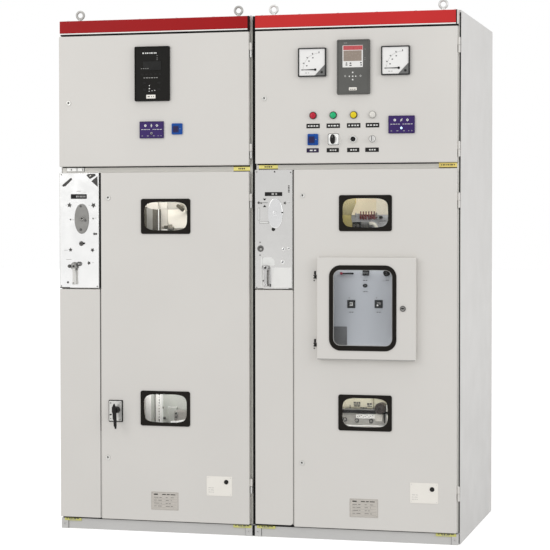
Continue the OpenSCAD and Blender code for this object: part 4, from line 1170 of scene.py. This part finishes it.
for x, z in ((-490, 1962), (-470, 1962), (-450, 1962), (-430, 1962), (-410, 1962)):
    p.add(plate(crect(x, z, 13, 8, 2), yf - 1.2, yf, 0.6, 1), "black")
for x, z in ((-480, 1925), (-415, 1925), (-480, 1897), (-415, 1897)):
    p.add(plate(crect(x, z, 15, 11, 2.5), yf - 1.4, yf, 0.7, 1), "black")
p.add(plate(rect(-472, -431, 1859, 1875, 1.2), yf - 0.6, yf + 0.1, 0.3, 1), "card")
dashes(p, -466, -438, 1867, 4, yf - 0.6, "ink", (3, 2, 1, 2, 1))
violet_unit(p, -505, -397, 1690, 1762, False)
blue_unit(p, -337.5, 1728.5, 47, 47)
p.done()

# right devices
p = Piece("right_relay_and_displays", BODY, ("right_panel_devices",), "grey_plastic")
relay_case(p, 430, 1974, 140, 227, "relay_grey", True)
p.add(plate(rect(385, 471, 1972, 2063, 2.5), yf - 1.0, yf + 0.2, 0.5, 1), "white")
p.add(plate(rect(388, 470, 2043.5, 2061.5, 1.2), yf - 1.3, yf - 0.8, 0.2, 1), "screen_red")
p.add(plate(rect(389, 466, 1998, 2041.5, 1.2), yf - 1.3, yf - 0.8, 0.2, 1), "screen_beige")
for x, w, h, z in ((402, 6, 4, 1990), (402, 8, 4, 1982), (419, 7, 5, 1989), (419, 9, 4, 1980), (463, 6, 5, 1990), (464, 5, 5, 1981)):
    p.add(rbox(x - w / 2, x + w / 2, yf - 1.25, yf - 0.9, z - h / 2, z + h / 2, 0), "black")
for x, z, s, t in ((428, 1951, 6, 0), (414, 1935, 5, 45), (428, 1935, 5.5, 0), (441, 1935, 5, 45), (428, 1921, 6, 0)):
    p.add(spun(plate(crect(x, z, s, s, 1.2, 2), yf - 1.1, yf + 0.1, 0.5, 1), x, z, t), "ink_white")
for x in (396, 461):
    p.add(spun(plate(crect(x, 1936, 7.2, 7.2, 1.2, 2), yf - 1.1, yf + 0.1, 0.5, 1), x, 1936, 45), "ink_pale")
    pip(p, x, 1936, yf - 1.1, 1.6, "relay_grey", 12, 0.2)
p.add(plate(rect(412, 445, 1877, 1889.5, 1.2), yf - 0.6, yf + 0.1, 0.3, 1), "card")
dashes(p, 416, 441, 1881.5, 3, yf - 0.6, "ink", (3, 1, 2, 1, 3))
dashes(p, 390, 404, 2073, 2, yf, "ink_pale", (2, 1, 3))
for z in (2010, 2003, 2046):
    pip(p, 480, z, yf, 1.4, "ink_pale", 10, 0.5)
violet_unit(p, 577, 687, 1697, 1770, True)
blue_unit(p, 256.5, 1676, 45, 47)
p.done()


def meter(p, cx, cz):
    """Square moving-coil meter: dark rim, white dial with a quarter scale, needle at rest, corner cover."""
    p.add(frame_tube(crect(cx, cz, 120, 120, 4), crect(cx, cz, 110, 110, 2.5), F - 12, F, 1.8, 3), "meter_frame")
    p.add(plate(crect(cx, cz, 111, 111, 2), F - 8, F - 1, 0.3, 1), "dial")
    y = F - 8
    px, pz = cx + 30, cz - 31
    for k in range(21):
        a = 180 - 90 * k / 20
        big = k % 5 == 0
        h = 0.55 if big else 0.3
        p.add(spun(rbox(px + 68, px + (75 if big else 71), y - 0.25, y + 0.1, pz - h * (3.2 if big else 1), pz + h * (3.2 if big else 1), 0), px, pz, a), "ink" if big else "ink_mid")
    for k in range(24):
        p.add(spun(rbox(px + 67.4, px + 68.1, y - 0.2, y + 0.1, pz - 2.25, pz + 2.25, 0), px, pz, 178.1 - 3.75 * k), "ink_pale")
    # plain marks of the scale's fields
    for a, r in ((162, 55), (140, 56), (118, 56)):
        q = math.radians(a)
        x, z = px + r * math.cos(q), pz + r * math.sin(q)
        p.add(rbox(x - 3.0, x + 3.0, y - 0.2, y + 0.1, z - 2.2, z + 2.2, 0), "ink")
    # needle
    g = poly((cx + 16, pz - 2.6), (cx + 16, pz + 2.6), (cx - 16, pz + 1.6), (cx - 47, pz + 0.7), (cx - 47, pz - 0.7), (cx - 16, pz - 1.6))
    p.add(plate(g, y - 1.6, y - 1.0, 0.05, 1), "black")
    pip(p, cx + 14, pz, y - 0.6, 5.2, "black", 20, 1.6)
    dashes(p, cx - 30, cx - 12, cz - 44, 2.4, y, "ink_mid", (3, 1, 2))
    # corner cover with its set screw
    g = poly((cx + 12, cz - 55.4), (cx + 55.4, cz - 55.4), (cx + 55.4, cz - 10))
    p.add(plate(g, F - 10.4, F - 7, 0.8, 2), "meter_corner")
    p.add(lathe(cx + 42, cz - 42, [(0, F - 11), (4.4, F - 11.2), (5.4, F - 10.8), (5.6, F - 10.2)], 20), "meter_frame")
    p.add(rbox(cx + 38, cx + 46, F - 11.5, F - 11, cz - 42.7, cz - 41.3, 0.1, 1), "dark")
    p.add(lathe(cx, cz, [(50, F + 3), (50, F + 58), (46, F + 62), (0, F + 62)], 36), "black")
    for s in (-1, 1):
        p.add(lathe(cx + s * 22, cz, [(0, F + 72), (4, F + 72), (4, F + 61)][::-1], 12), "copper")


p = Piece("panel_meter_pair", BODY, ("panel_meters",), "white_plastic")
meter(p, 254, 1997)
meter(p, 607, 1997)
p.done()

# pilot lamps
p = Piece("pilot_lamps", BODY, ("indicator_lamps",), "lamp_lens")
for x, m in ((257, "lamp_red"), (343, "lamp_green"), (430, "lamp_yellow"), (509.5, "lamp_white")):
    p.add(lathe(x, 1776, [(12.6, F - 6.0), (14.4, F - 6.4), (15.5, F - 4.6), (15.5, F)], 36), "black" if m != "lamp_white" else "plate_grey")
    p.add(lathe(x, 1776, [(0, F - 12.8), (4.5, F - 12.6), (8.0, F - 11.6), (10.8, F - 9.8), (12.6, F - 7.4), (13.0, F - 5)], 36), m)
    for k in range(24):
        ca, sa = math.cos(2 * PI * k / 24), math.sin(2 * PI * k / 24)
        p.add(rbox(x + 12.5 * ca - 0.5, x + 12.5 * ca + 0.5, F - 8.2, F - 5, 1776 + 12.5 * sa - 0.5, 1776 + 12.5 * sa + 0.5, 0), m)
    p.add(lathe(x, 1776, [(12, F + 3), (12, F + 42), (9, F + 45), (0, F + 45)], 24), "black")
p.done()

# bezels of the row below
p = Piece("switch_bezel_set", BODY, ("switch_bezels",), "chrome")
# switch plate in glowing white: painted light
p.add(plate(crect(345, 1676, 48, 48, 6), F - 4, F, 1.4, 3), "glow_white")
p.add(frame_tube(crect(345, 1676, 48, 48, 6), crect(345, 1676, 43.6, 43.6, 5), F - 4.6, F - 3.4, 0.4, 1), "black")
for a in (45, 135, 225, 315):
    q = math.radians(a)
    pip(p, 345 + 25 * math.cos(q), 1676 + 25 * math.sin(q), F - 4, 1.2, "ink", 10, 0.2)
p.add(frame_tube(superell(428.5, 1676, 31, 31, 2), superell(428.5, 1676, 24.6, 24.6, 2), F - 7, F, 2.0, 3), "lock_face")
# push-button bezel ring in glowing white: painted light
p.add(lathe(428.5, 1676, [(11.2, F - 6.6), (12.9, F - 7.4), (13.0, F - 0.3)], 36), "glow_white")
p.add(lathe(509.5, 1676, [(12.4, F - 5.6), (14.2, F - 6), (15.5, F - 4.6), (15.5, F)], 36), "white")
p.add(torus((509.5, F - 5.2, 1676), 14.0, 1.1, 40, 8), "ink_mid")
for x in (345, 428.5, 509.5):
    p.add(lathe(x, 1676, [(13, F + 3), (13, F + 46), (10, F + 50), (0, F + 50)], 24), "black")
p.done()

p = Piece("rotary_knob", "rotary_switch_knob", ("rotary_switch_knob",), "black_plastic")
p.add(lathe(345, 1676, [(0, F - 14), (13, F - 14), (15.4, F - 13), (16.6, F - 10.5), (17, F - 5.4), (16.4, F - 4.7)], 36), "white")
p.add(plate(superell(345, 1676, 19, 40, 2.3, 40), F - 30, F - 13, 3.2, 4), "black")
p.add(rbox(344.2, 345.8, F - 30.15, F - 29.5, 1682, 1691, 0.2, 1), "ink_pale")
p.done()
p = Piece("selector_switch_knob", "selector_knob", ("selector_knob",), "white_plastic")
p.add(lathe(509.5, 1676, [(0, F - 12), (9.4, F - 12), (11.2, F - 11), (12, F - 9), (12, F - 6.5)], 32), "white")
p.add(plate(crect(509.5, 1676, 8, 22, 3.6, 5), F - 22, F - 11, 1.8, 3), "white")
p.add(rbox(507.9, 511.1, F - 22.2, F - 21.2, 1666.4, 1686.4, 0.3, 1), "black")
for s in (-1, 1):
    p.add(rbox(509.5 + s * 4.4 - 0.35, 509.5 + s * 4.4 + 0.35, F - 12.2, F - 11.8, 1666, 1686, 0), "ink")
p.done()
p = Piece("push_button_cap", "push_button", ("push_button",), "black_plastic")
p.add(lathe(428.5, 1676, [(0, F - 11.2), (6.9, F - 11.0), (8.6, F - 11.6), (10.0, F - 11.2), (10.6, F - 10), (10.6, F - 5)], 36), "black")
p.done()

# lock plate and handle
p = Piece("handle_plate", LLD, ("lock_plate",), "chrome")
p.add(plate(crect(-618, 519, 64, 94, 3), F - 4.2, F, 0.8, 2), "black")
p.add(plate(crect(-619, 519, 56.5, 86, 2), F - 5.8, F - 3.6, 1.0, 2), "lock_face")
screw(p, -640, 553, F - 5.8, 2.8, 1.2, "hub_dark", "cross", 20)
screw(p, -596, 555, F - 5.8, 2.6, 1.2, "ink_mid", "cross", -20)
screw(p, -640, 486, F - 5.8, 2.6, 1.2, "ink_mid", "cross", -20)
screw(p, -597, 484, F - 5.8, 2.6, 1.2, "ink_mid", "cross", 20)
p.add(spun(rbox(-645, -635.6, F - 7.0, F - 5.6, 500, 505.6, 1.0), -640.4, 502.8, 20), "dark")
p.add(lathe(-610, 525, [(13.4, F - 6.0), (15.4, F - 6.2), (16.4, F - 5.4)], 30), "ink_mid")
p.done()
p = Piece("turn_handle", "lock_handle", ("lock_handle",), "black_plastic")
p.add(lathe(-610, 525, [(0, F - 33), (5, F - 33), (5.6, F - 34), (10.6, F - 33.6), (12.4, F - 31), (13, F - 24), (11.4, F - 20), (11.4, F - 12), (13, F - 9), (13, F - 6.6)], 32), "black")
p.add(loft([(554, -612, F - 41, 1.4, 1.8), (549, -612, F - 41, 4.2, 4.6), (544, -612, F - 41, 5.4, 6.4), (540.5, -613, F - 41, 7.8, 8.0), (532, -613.2, F - 41, 8.4, 9.0),
            (519, -612.8, F - 41, 8.4, 9.0), (514, -610.4, F - 41, 8.2, 8.6), (489, -609.8, F - 41, 8.0, 8.4), (484, -608, F - 41, 6.2, 8.0),
            (459, -607.4, F - 41, 6.0, 7.8), (454, -605.8, F - 41.2, 4.0, 6.6), (446, -605.4, F - 41.4, 3.0, 5.0)], 24, 2.8), "black")
p.add(lathe(-612.6, 527, [(0, F - 50), (3.4, F - 49.9), (4.2, F - 49.2)], 18), "dark")
p.done()


# --------------------------------------------------------------------------- inside

# breaker: bevelled case and a front plate with its controls
p = Piece("breaker_unit", BODY, ("breaker_case",), "breaker_paint")
p.add(rbox(296, 660, F + 49, F + 330, 738, 1190, 3, 2), "breaker")
p.add(plate(crect(478, 968.5, 384, 461, 8), F + 45, F + 49.2, 1.4, 2), "breaker")
yb = F + 45


def seen(xw, zw, d):
    """Point at depth d behind the door faces that shows at (xw, zw) on the door plane from the front right."""
    t = d / 7425.0
    return xw + (xw - 2048) * t, zw + (zw - 1338) * t


for xw, zw, k in ((420, 991, 0), (536, 992, 1)):
    x, z = seen(xw, zw, 45)
    p.add(plate(crect(x, z, 34, 34, 1.5), yb - 3.5, yb, 0.8, 1), "black")
    p.add(plate(crect(x, z, 24, 24, 2), yb - 5.0, yb - 3, 0.8, 1), "dark")
    if k == 0:
        for dz in (-6, 0, 6):
            p.add(rbox(x - 6, x + 7, yb - 5.3, yb - 4.8, z + dz - 1.2, z + dz + 1.2, 0.2, 1), "ink_white")
        p.add(rbox(x + 5, x + 7.4, yb - 5.3, yb - 4.8, z - 7, z + 7, 0.2, 1), "ink_white")
    else:
        p.add(lathe(x - 4, z - 5, [(0, yb - 5.3), (3.6, yb - 5.3), (3.6, yb - 4.8)], 16), "ink_white")
        p.add(rbox(x - 6, x + 9, yb - 5.3, yb - 4.8, z + 4, z + 6.4, 0.2, 1), "ink_pale")
        p.add(rbox(x + 3, x + 9, yb - 5.3, yb - 4.8, z - 1, z + 2, 0.2, 1), "ink_pale")
    dashes(p, x - 9, x + 9, z - 34, 3, yb, "ink", (2, 1, 2))
    pip(p, x - 9, z + 26, yb, 2.0, "ink", 10, 0.3)
# spring charge bar with a red grip
x0, z = seen(376, 1118, 45)
x1, _ = seen(428, 1118, 45)
p.add(rbox(x0, x1, yb - 4, yb, z - 2.6, z + 2.6, 1.2, 2), "black")
p.add(lathe(x0 + 2, z, [(0, yb - 7), (4, yb - 6.6), (5.6, yb - 4.6), (5.6, yb)], 20), "red_tip")
pip(p, x1 - 2, z, yb, 4.0, "black", 18, 5)
# counter window, indicator and crank socket
x, z = seen(482, 1123, 45)
p.add(plate(crect(x, z, 28, 27, 2.5), yb - 4, yb, 1.2, 2), "black")
for k in range(4):
    p.add(rbox(x - 11 + k * 5.7, x - 7 + k * 5.7, yb - 4.4, yb - 3.9, z - 5, z + 2, 0.2, 1), "breaker_dark")
x, z = seen(570, 1121, 45)
p.add(lathe(x, z, [(0, yb - 11), (10, yb - 11), (13, yb - 9.4), (14, yb - 6), (14, yb)], 30), "black")
p.add(rbox(x - 2.6, x + 2.6, yb - 13, yb - 10.6, z - 12, z + 12, 1, 2), "dark")
x, z = seen(479, 1068, 45)
p.add(plate(superell(x, z, 20, 16, 2), yb - 4, yb, 1.2, 2), "black")
p.add(spun(rbox(x - 7, x + 7, yb - 4.5, yb - 3.8, z - 1, z + 1, 0.2, 1), x, z, 30), "breaker_dark")
for xw, zw, w in ((479, 1090, 18), (480, 1043, 18), (573, 1091, 12), (557, 1088, 4)):
    x, z = seen(xw, zw, 45)
    dashes(p, x - w / 2, x + w / 2, z, 3.2, yb, "ink", (3, 1, 2) if w > 5 else (1,))
# dark cover plate low on the left
x0, z0 = seen(338, 800, 45)
x1, z1 = seen(402, 897, 45)
p.add(plate(rect(x0, x1, z0, z1, 2), yb - 2.4, yb, 0.8, 1), "breaker_dark")
for x, z in ((302, 1182), (654, 1182), (302, 755), (654, 755)):
    screw(p, x, z, yb, 4.5, 2.4)
p.done()

# ribbed resin insulators lying along x, each on its contact block
def xlathe(cy, cz, prof, seg=36):
    """Turned shape along x: prof is (radius, x) from the right end to the left."""
    return moved(lathe(0, 0, prof, seg, "Z"), Matrix.Translation((0, cy, cz)) @ Matrix.Rotation(math.radians(90), 4, "Y"))


p = Piece("resin_posts", BODY, ("post_insulators",), "epoxy_red")
for x in (210, 420, 630):
    p.add(rbox(x - 56, x - 18, F + 266, F + 334, 1300, 1332, 5, 3), "black")
    p.add(rbox(x - 17.6, x + 19, F + 266, F + 334, 1300, 1331, 5, 3), "breaker_dark")
    for dx in (-38, 10):
        p.add(rbox(x + dx - 6, x + dx + 6, F + 294, F + 312, 1330, 1356, 2, 2), "barrier")
    for dx in (-46, -30, -8, 8):
        for g in hexbolt(x + dx, 1316, F + 266, 5, 3.5):
            p.add(g, "hub_dark")
    p.add(xlathe(F + 304, 1355, [(0, x + 46), (9, x + 46), (10, x + 45), (10, x - 28), (9, x - 29), (0, x - 29)]), "resin_red")
    for k in range(6):
        q = x - 24.0 + 11.9 * k
        p.add(rbox(q, q + 4.6, F + 284, F + 291, 1343, 1378, 1.8, 3), "resin_red")
        p.add(rbox(q - 0.9, q + 5.5, F + 282.4, F + 296, 1342, 1357, 1.8, 3), "resin_red")
    p.add(xlathe(F + 300, 1360, [(0, x - 28), (8, x - 28), (8.6, x - 29), (8.6, x - 45), (8, x - 46), (0, x - 46)]), "barrier")
    for a, b in ((x + 42, x + 47.5), (x - 47.5, x - 44)):
        p.add(xlathe(F + 300, 1360, [(0, b), (11, b), (12.4, b - 1), (12.4, a + 1), (11.4, a)]), "copper")
p.done()

# current transformers: cast bodies, each with a terminal dome and a hexagon terminal
p = Piece("resin_transformers", BODY, ("current_transformers",), "epoxy_cream")
for x in (190, 400, 610):
    p.add(rbox(x - 75, x + 75, F + 190, F + 350, 535, 670, 8, 4), "resin_cream")
    p.add(lathe(x, 0, [(0, 710), (22, 710), (28, 707), (31, 700), (33, 684), (34, 672), (36, 668)], 36, "Z", cy=F + 270), "resin_cream")
    p.add(lathe(x, 0, [(0, 718), (10, 718), (10, 709)], 6, "Z", cy=F + 270), "copper")
p.done()

# folded uprights: a faceted one, a round-fronted one with a perforated strip, a passivated one
p = Piece("folded_uprights", BODY, ("inner_columns",), "zinc_steel")


def sheet_z(line, z0, z1, mat, slope=0.0, t=2.0):
    p.add(extrude_z(strip_section([(x, F + d) for x, d in line], t), z0, z1, slope), mat)


# faceted column: the darker facets are a shaded copy of the galvanised steel, painted shade; the front flange strip is
# glowing white, a painted highlight
sheet_z([(-535, 190), (-535.5, 141), (-522, 137.5)], 1000, 1399, "column_dark", -0.25)
sheet_z([(-522, 137.5), (-493, 130)], 1000, 1396, "column", -0.25)
sheet_z([(-493, 130), (-482, 164)], 1000, 1389, "column_dark", -0.25)
sheet_z([(-482, 165), (-479.4, 165)], 1000, 1388, "column_dark")
sheet_z([(-479.2, 165), (-475, 165)], 1000, 1388, "glow_white")
sheet_z([(-475, 166), (-475, 189)], 1000, 1388, "column_dark")
sheet_z([(-533, 189), (-533, 176), (-484, 176)], 1378, 1557, "warm_sheet")
p.add(rbox(-536, -474, F + 128, F + 190, 992, 1000, 2, 2), "column")
sheet_z([(-537, 188), (-539, 156), (-533, 144), (-519, 138), (-506, 139.5)], 48, 992, "column_blue")
sheet_z([(-506, 139.5), (-498, 145), (-493, 154), (-491, 188)], 48, 992, "pale_sheet")
sheet_z([(-488.5, 188), (-488, 150), (-467, 150)], 48, 992, "white")
# side face of the last fold in glowing white: painted light on a face in shade
sheet_z([(-466, 150), (-466, 188)], 48, 992, "glow_white")
for k in range(72):
    pip(p, -471.8, 80 + k * 12.5, F + 150, 3.4 if k % 9 == 4 else (2.6 if k % 3 else 1.8), "dark", 12, 0.3)
p.add(plate(poly((349, 1363), (392, 1363), (411, 1413), (414, 1557), (349, 1557)), F + 130, F + 132, 0.4, 1), "olive")
p.add(plate(poly((349, 1215), (396, 1215), (395, 1325), (391, 1345), (392, 1362.6), (349, 1362.6)), F + 130, F + 132, 0.4, 1), "olive_dark")
p.add(plate(poly((405, 1396), (411.4, 1413), (414.4, 1440), (414.4, 1557), (409, 1557), (409, 1420)), F + 129.4, F + 130.2, 0.2, 1), "olive_dark")
p.add(rbox(348, 350, F + 132, F + 190, 1215, 1557, 0.6, 1), "olive")
p.add(rbox(386, 388, F + 132, F + 146, 1215, 1557, 0.6, 1), "olive_dark")
p.done()

# fittings on the plates of the left cubicle
p = Piece("left_plate_fittings", BODY)
yp = F + 190
# cream plate glowing a little: painted light
p.add(plate(rect(-442, -8, 1304, 1387, (40, 3, 3, 3), 10), yp - 6, yp, 2.0, 3), "cream")
p.add(plate(rect(-442, -8, 1389, 1543, 2), yp - 4, yp, 0.6, 1), "wall_white")
p.add(plate(rect(-474, -8, 1132, 1300, 2), yp - 2, yp, 0.6, 1), "warm_sheet")
p.add(plate(rect(-474, -444, 1300.5, 1388, 2), yp - 2, yp, 0.6, 1), "warm_sheet")
p.add(plate(rect(-474, -444, 1390, 1543, 2), yp - 4, yp, 0.6, 1), "warm_sheet")
yl = yp - 40
for x0, x1, z0, z1, m in ((-459, -446, 1304, 1313, "lump_pale"), (-449, -432, 1305, 1317, "lump"), (-430, -420, 1302, 1322, "lump_pale"), (-421, -412, 1301, 1313, "lump_pale")):
    p.add(rbox(x0, x1, yl, yp - 2, z0, z1, 3, 2), m)
p.add(rbox(-458, -430, yl - 2, yp - 2, 1293, 1302, 2, 2), "white")
p.add(tube([(-386, yp - 36, 1404), (-379, yp - 40, 1400), (-370, yp - 38, 1392), (-363, yp - 30, 1383)], 7.6, 16), "lump")
p.add(lathe(-378, 1402, [(0, yp - 30), (8, yp - 30), (9, yp - 26), (9, yp - 14), (11, yp - 12), (11, yp - 5)], 26), "lump_pale")
p.add(rbox(-358, -334, yp - 20, yp - 5, 1376, 1400, 4, 3), "wall_white")
# lower plate: folded cover, box and bolts
p.add(plate(rect(-466, -8, 432, 658, 2), yp - 4, yp, 0.8, 1), "pale_sheet")
p.add(rbox(-440, -396, yp - 22, yp - 3, 440, 526, 6, 4), "pale_sheet")
# white strip along the cover's top fold: a painted highlight
p.add(rbox(-438, -399, yp - 23, yp - 18, 521.5, 525.5, 1.8, 2), "ink_white")
p.add(rbox(-411, -340, yp - 25, yp - 3, 462, 511, 8, 4), "box_grey")
# glowing white plate below the box: a painted highlight
p.add(plate(poly((-424, 436), (-332, 436), (-332, 478), (-358, 471), (-390, 465), (-424, 461)), yp - 28, yp - 3, 1.5, 2), "glow_white")
for xw, zw, r in ((-410, 537, 4.6), (-395, 495, 6.4), (-344, 516, 5.2), (-421, 569, 5.4), (-344, 500, 4.0)):
    x, z = seen(xw, zw, 170)
    w, b = hexbolt(x, z, yp - 4 if zw > 530 else yp - 25, r, 5)
    p.add(w, "pale_sheet")
    p.add(b, "hub_dark")
p.done()

# fittings seen through the right-hand windows
p = Piece("right_equipment_fittings", BODY)
p.add(plate(rect(8, 440, 1364, 1543, 3), F + 416, F + 420, 1.0, 1), "beige")
p.add(plate(rect(440.2, 866, 1364, 1543, 3), F + 416, F + 420, 1.0, 1), "beige_grey")
p.add(plate(rect(8, 866, 1180, 1361, 3), F + 424, F + 427, 1.0, 1), "barrier")
# curved link and small terminals beside the insulators
for dx in (-210, 0, 210):
    p.add(tube([(443 + dx, F + 262, 1325), (455 + dx, F + 262, 1326), (465 + dx, F + 262, 1321), (471 + dx, F + 262, 1312), (473 + dx, F + 262, 1300)], 7.6, 14), "column_white")
    p.add(rbox(474 + dx, 520 + dx, F + 290, F + 316, 1300, 1330, 3, 2), "barrier")
    p.add(lathe(484 + dx, 1352, [(0, F + 286), (4, F + 286), (6.5, F + 290), (6.5, F + 316)], 20), "black")
    p.add(lathe(464 + dx, 1352, [(0, F + 290), (3, F + 290), (4.5, F + 293), (4.5, F + 316)], 20), "resin_red")
    p.add(rbox(456 + dx, 524 + dx, F + 310, F + 318, 1340, 1362, 2, 2), "barrier")
# transformer face markings and terminals
for x in (190, 400, 610):
    for x0, x1, z0, z1 in ((-11, -2, 557, 564), (1, 7, 556, 564), (10, 17, 557, 564), (-11, 17, 550, 553), (-9, 3, 545, 548), (6, 14, 545, 548),
                           (48, 55, 552, 560), (58, 68, 553, 560), (49, 68, 545.5, 549), (-28, -25.6, 536, 550), (19, 24, 538, 541), (27, 36, 537, 541), (39, 46, 538, 541)):
        p.add(rbox(x + x0 - 0.5, x + x1 + 0.5, F + 189.5, F + 190.2, z0 - 0.5, z1 + 0.5, 0), "ink")
    for dx, z in ((-47, 489), (5, 486.5), (67, 485)):
        p.add(lathe(x + dx, z, [(6.6, F + 176.4), (8.8, F + 176.6), (9.4, F + 178), (9.4, F + 180)], 24), "hub_dark")
        p.add(lathe(x + dx, z, [(0, F + 172.4), (3.4, F + 172.8), (5.6, F + 174.6), (6.4, F + 177.6), (6.4, F + 179)], 24), "lever_light")
    p.add(rbox(x + 2, x + 84, F + 176.6, F + 180.2, 495.5, 514, 1.0, 2), "ink_white")
    for k in range(9):
        p.add(rbox(x + 7 + 8.2 * k, x + 11 + 8.2 * k, F + 176.4, F + 177, 500 + 3 * (k % 3), 504 + 3 * (k % 3), 0.2, 1), "inlay_mid")
    p.add(lathe(x + 111, 541, [(0, F + 152), (7, F + 152), (8, F + 149), (17, F + 149), (22, F + 151), (24.5, F + 156), (24.5, F + 189)], 36), "brown")
    p.add(rbox(x + 76, x + 134, F + 192, F + 300, 535, 640, 6, 3), "resin_cream")
    p.add(rbox(x + 87, x + 121, F + 158, F + 180, 487, 519, 5, 4), "column_white")
    p.add(rbox(x + 125.4, x + 128, F + 166, F + 180, 478, 517, 0.8, 2), "black")
    p.add(rbox(x + 136, x + 141, F + 170, F + 180, 486, 513, 1.0, 2), "ink_white")
    p.add(rbox(x - 60, x + 132, F + 176, F + 180.2, 461.5, 467.5, 1.0, 2), "ink_white")
    p.add(rbox(x + 135, x + 140, F + 164, F + 190, 528, 556, 1.5, 2), "ink_white")
p.add(rbox(8, 866, F + 173, F + 180, 517.5, 531.5, 1.6, 2), "dark")
p.done()

# --------------------------------------------------------------------------- finishes of the CAD pieces that show

for n, m in (("plinths", "plinth"), ("floor_plates", "zinc"), ("back_panels", "side"), ("roof_panels", "side"),
             ("instrument_floors", "floor_in"), ("instrument_back_walls", "floor_in"), ("breaker_shelf", "zinc"),
             ("equipment_beams", "beam"), ("mounting_plates", "warm_sheet")):
    nodes[n].data.materials.clear()
    nodes[n].data.materials.append(M[m])

# --------------------------------------------------------------------------- studio

bpy.ops.mesh.primitive_plane_add(size=80.0, location=(0, 0, 0))
floor = bpy.context.object
floor.name = "studio_floor"
floor.data.materials.append(surf("pale_floor", (243, 243, 243), 0.75, var=0.006, vscale=1.2, bump=0.0, spec=0.1, emis=0.5))
floor.visible_diffuse = False

world = bpy.data.worlds.new("studio")
scene.world = world
world.use_nodes = True
wt = world.node_tree
wt.nodes.clear()
wo = wt.nodes.new("ShaderNodeOutputWorld")
mix = wt.nodes.new("ShaderNodeMixShader")
lp = wt.nodes.new("ShaderNodeLightPath")
bg_all = wt.nodes.new("ShaderNodeBackground")
bg_all.inputs["Color"].default_value = (1, 1, 1, 1)
bg_all.inputs["Strength"].default_value = 1.0
bg_dif = wt.nodes.new("ShaderNodeBackground")
bg_dif.inputs["Color"].default_value = (1.0, 1.0, 1.0, 1)
bg_dif.inputs["Strength"].default_value = 0.70
wt.links.new(lp.outputs["Is Diffuse Ray"], mix.inputs["Fac"])
wt.links.new(bg_all.outputs[0], mix.inputs[1])
wt.links.new(bg_dif.outputs[0], mix.inputs[2])
wt.links.new(mix.outputs[0], wo.inputs["Surface"])


def softbox(name, loc, target, sx, sy, power, color=(1, 1, 1)):
    d = bpy.data.lights.new(name, "AREA")
    d.shape = "RECTANGLE"
    d.size, d.size_y, d.energy, d.color = sx, sy, power, color
    o = bpy.data.objects.new(name, d)
    o.location = loc
    o.rotation_mode = "QUATERNION"
    o.rotation_quaternion = (Vector(target) - Vector(loc)).to_track_quat("-Z", "Y")
    o.visible_camera = False
    scene.collection.objects.link(o)
    return o


softbox("key_left", (-3.6, -4.6, 3.4), (0, -0.3, 1.2), 3.0, 3.0, 65, (1.0, 0.99, 0.975))
softbox("fill_right", (4.6, -2.6, 2.6), (0.4, 0, 1.1), 2.4, 3.0, 52, (0.98, 0.99, 1.0))
softbox("top", (0.2, -0.4, 5.0), (0, 0, 1.0), 3.5, 3.5, 30)


def inner_lamp(name, loc, target, sx, sy, power, color=(1, 1, 1)):
    o = softbox(name, loc, target, sx, sy, power, color)
    o.visible_glossy = False
    return o


inner_lamp("lamp_left_top", (-0.40, -0.40, 1.50), (-0.42, -0.25, 1.30), 0.5, 0.03, 0.75, (1, 0.985, 0.95))
inner_lamp("lamp_left_low", (-0.40, -0.40, 0.66), (-0.42, -0.25, 0.50), 0.5, 0.03, 0.55, (1, 0.99, 0.97))
inner_lamp("lamp_right_top", (0.42, -0.38, 1.50), (0.42, -0.10, 1.34), 0.5, 0.03, 1.4, (1, 0.975, 0.92))
inner_lamp("lamp_right_low", (0.42, -0.38, 0.70), (0.42, -0.25, 0.52), 0.5, 0.03, 0.5, (1, 0.98, 0.94))
inner_lamp("lamp_breaker", (0.478, -0.425, 1.20), (0.478, -0.40, 0.95), 0.34, 0.02, 0.26)
inner_lamp("lamp_breaker_low", (0.478, -0.425, 0.745), (0.478, -0.40, 1.0), 0.34, 0.02, 0.19)
inner_lamp("lamp_right_foot", (0.44, -0.40, 0.40), (0.44, -0.27, 0.50), 0.5, 0.03, 0.32, (1, 0.985, 0.96))

# camera at the photograph's viewpoint
yaw, pitch, roll = math.radians(14.76), math.radians(1.703), math.radians(-0.06)
fw = Vector((-math.sin(yaw) * math.cos(pitch), math.cos(yaw) * math.cos(pitch), -math.sin(pitch)))
rt = Vector((math.cos(yaw), math.sin(yaw), 0))
up = rt.cross(fw)
r2 = math.cos(roll) * rt + math.sin(roll) * up
u2 = -math.sin(roll) * rt + math.cos(roll) * up
cd = bpy.data.cameras.new("camera")
cd.lens, cd.sensor_width = 119.6, 36.0
cd.clip_end = 200.0
cam = bpy.data.objects.new("camera", cd)
m = Matrix((r2, u2, -fw)).transposed().to_4x4()
m.translation = Vector((2.048, -7.872, 1.338))
cam.matrix_world = m
scene.collection.objects.link(cam)
scene.camera = cam

scene.view_settings.view_transform = "Standard"
scene.view_settings.look = "None"
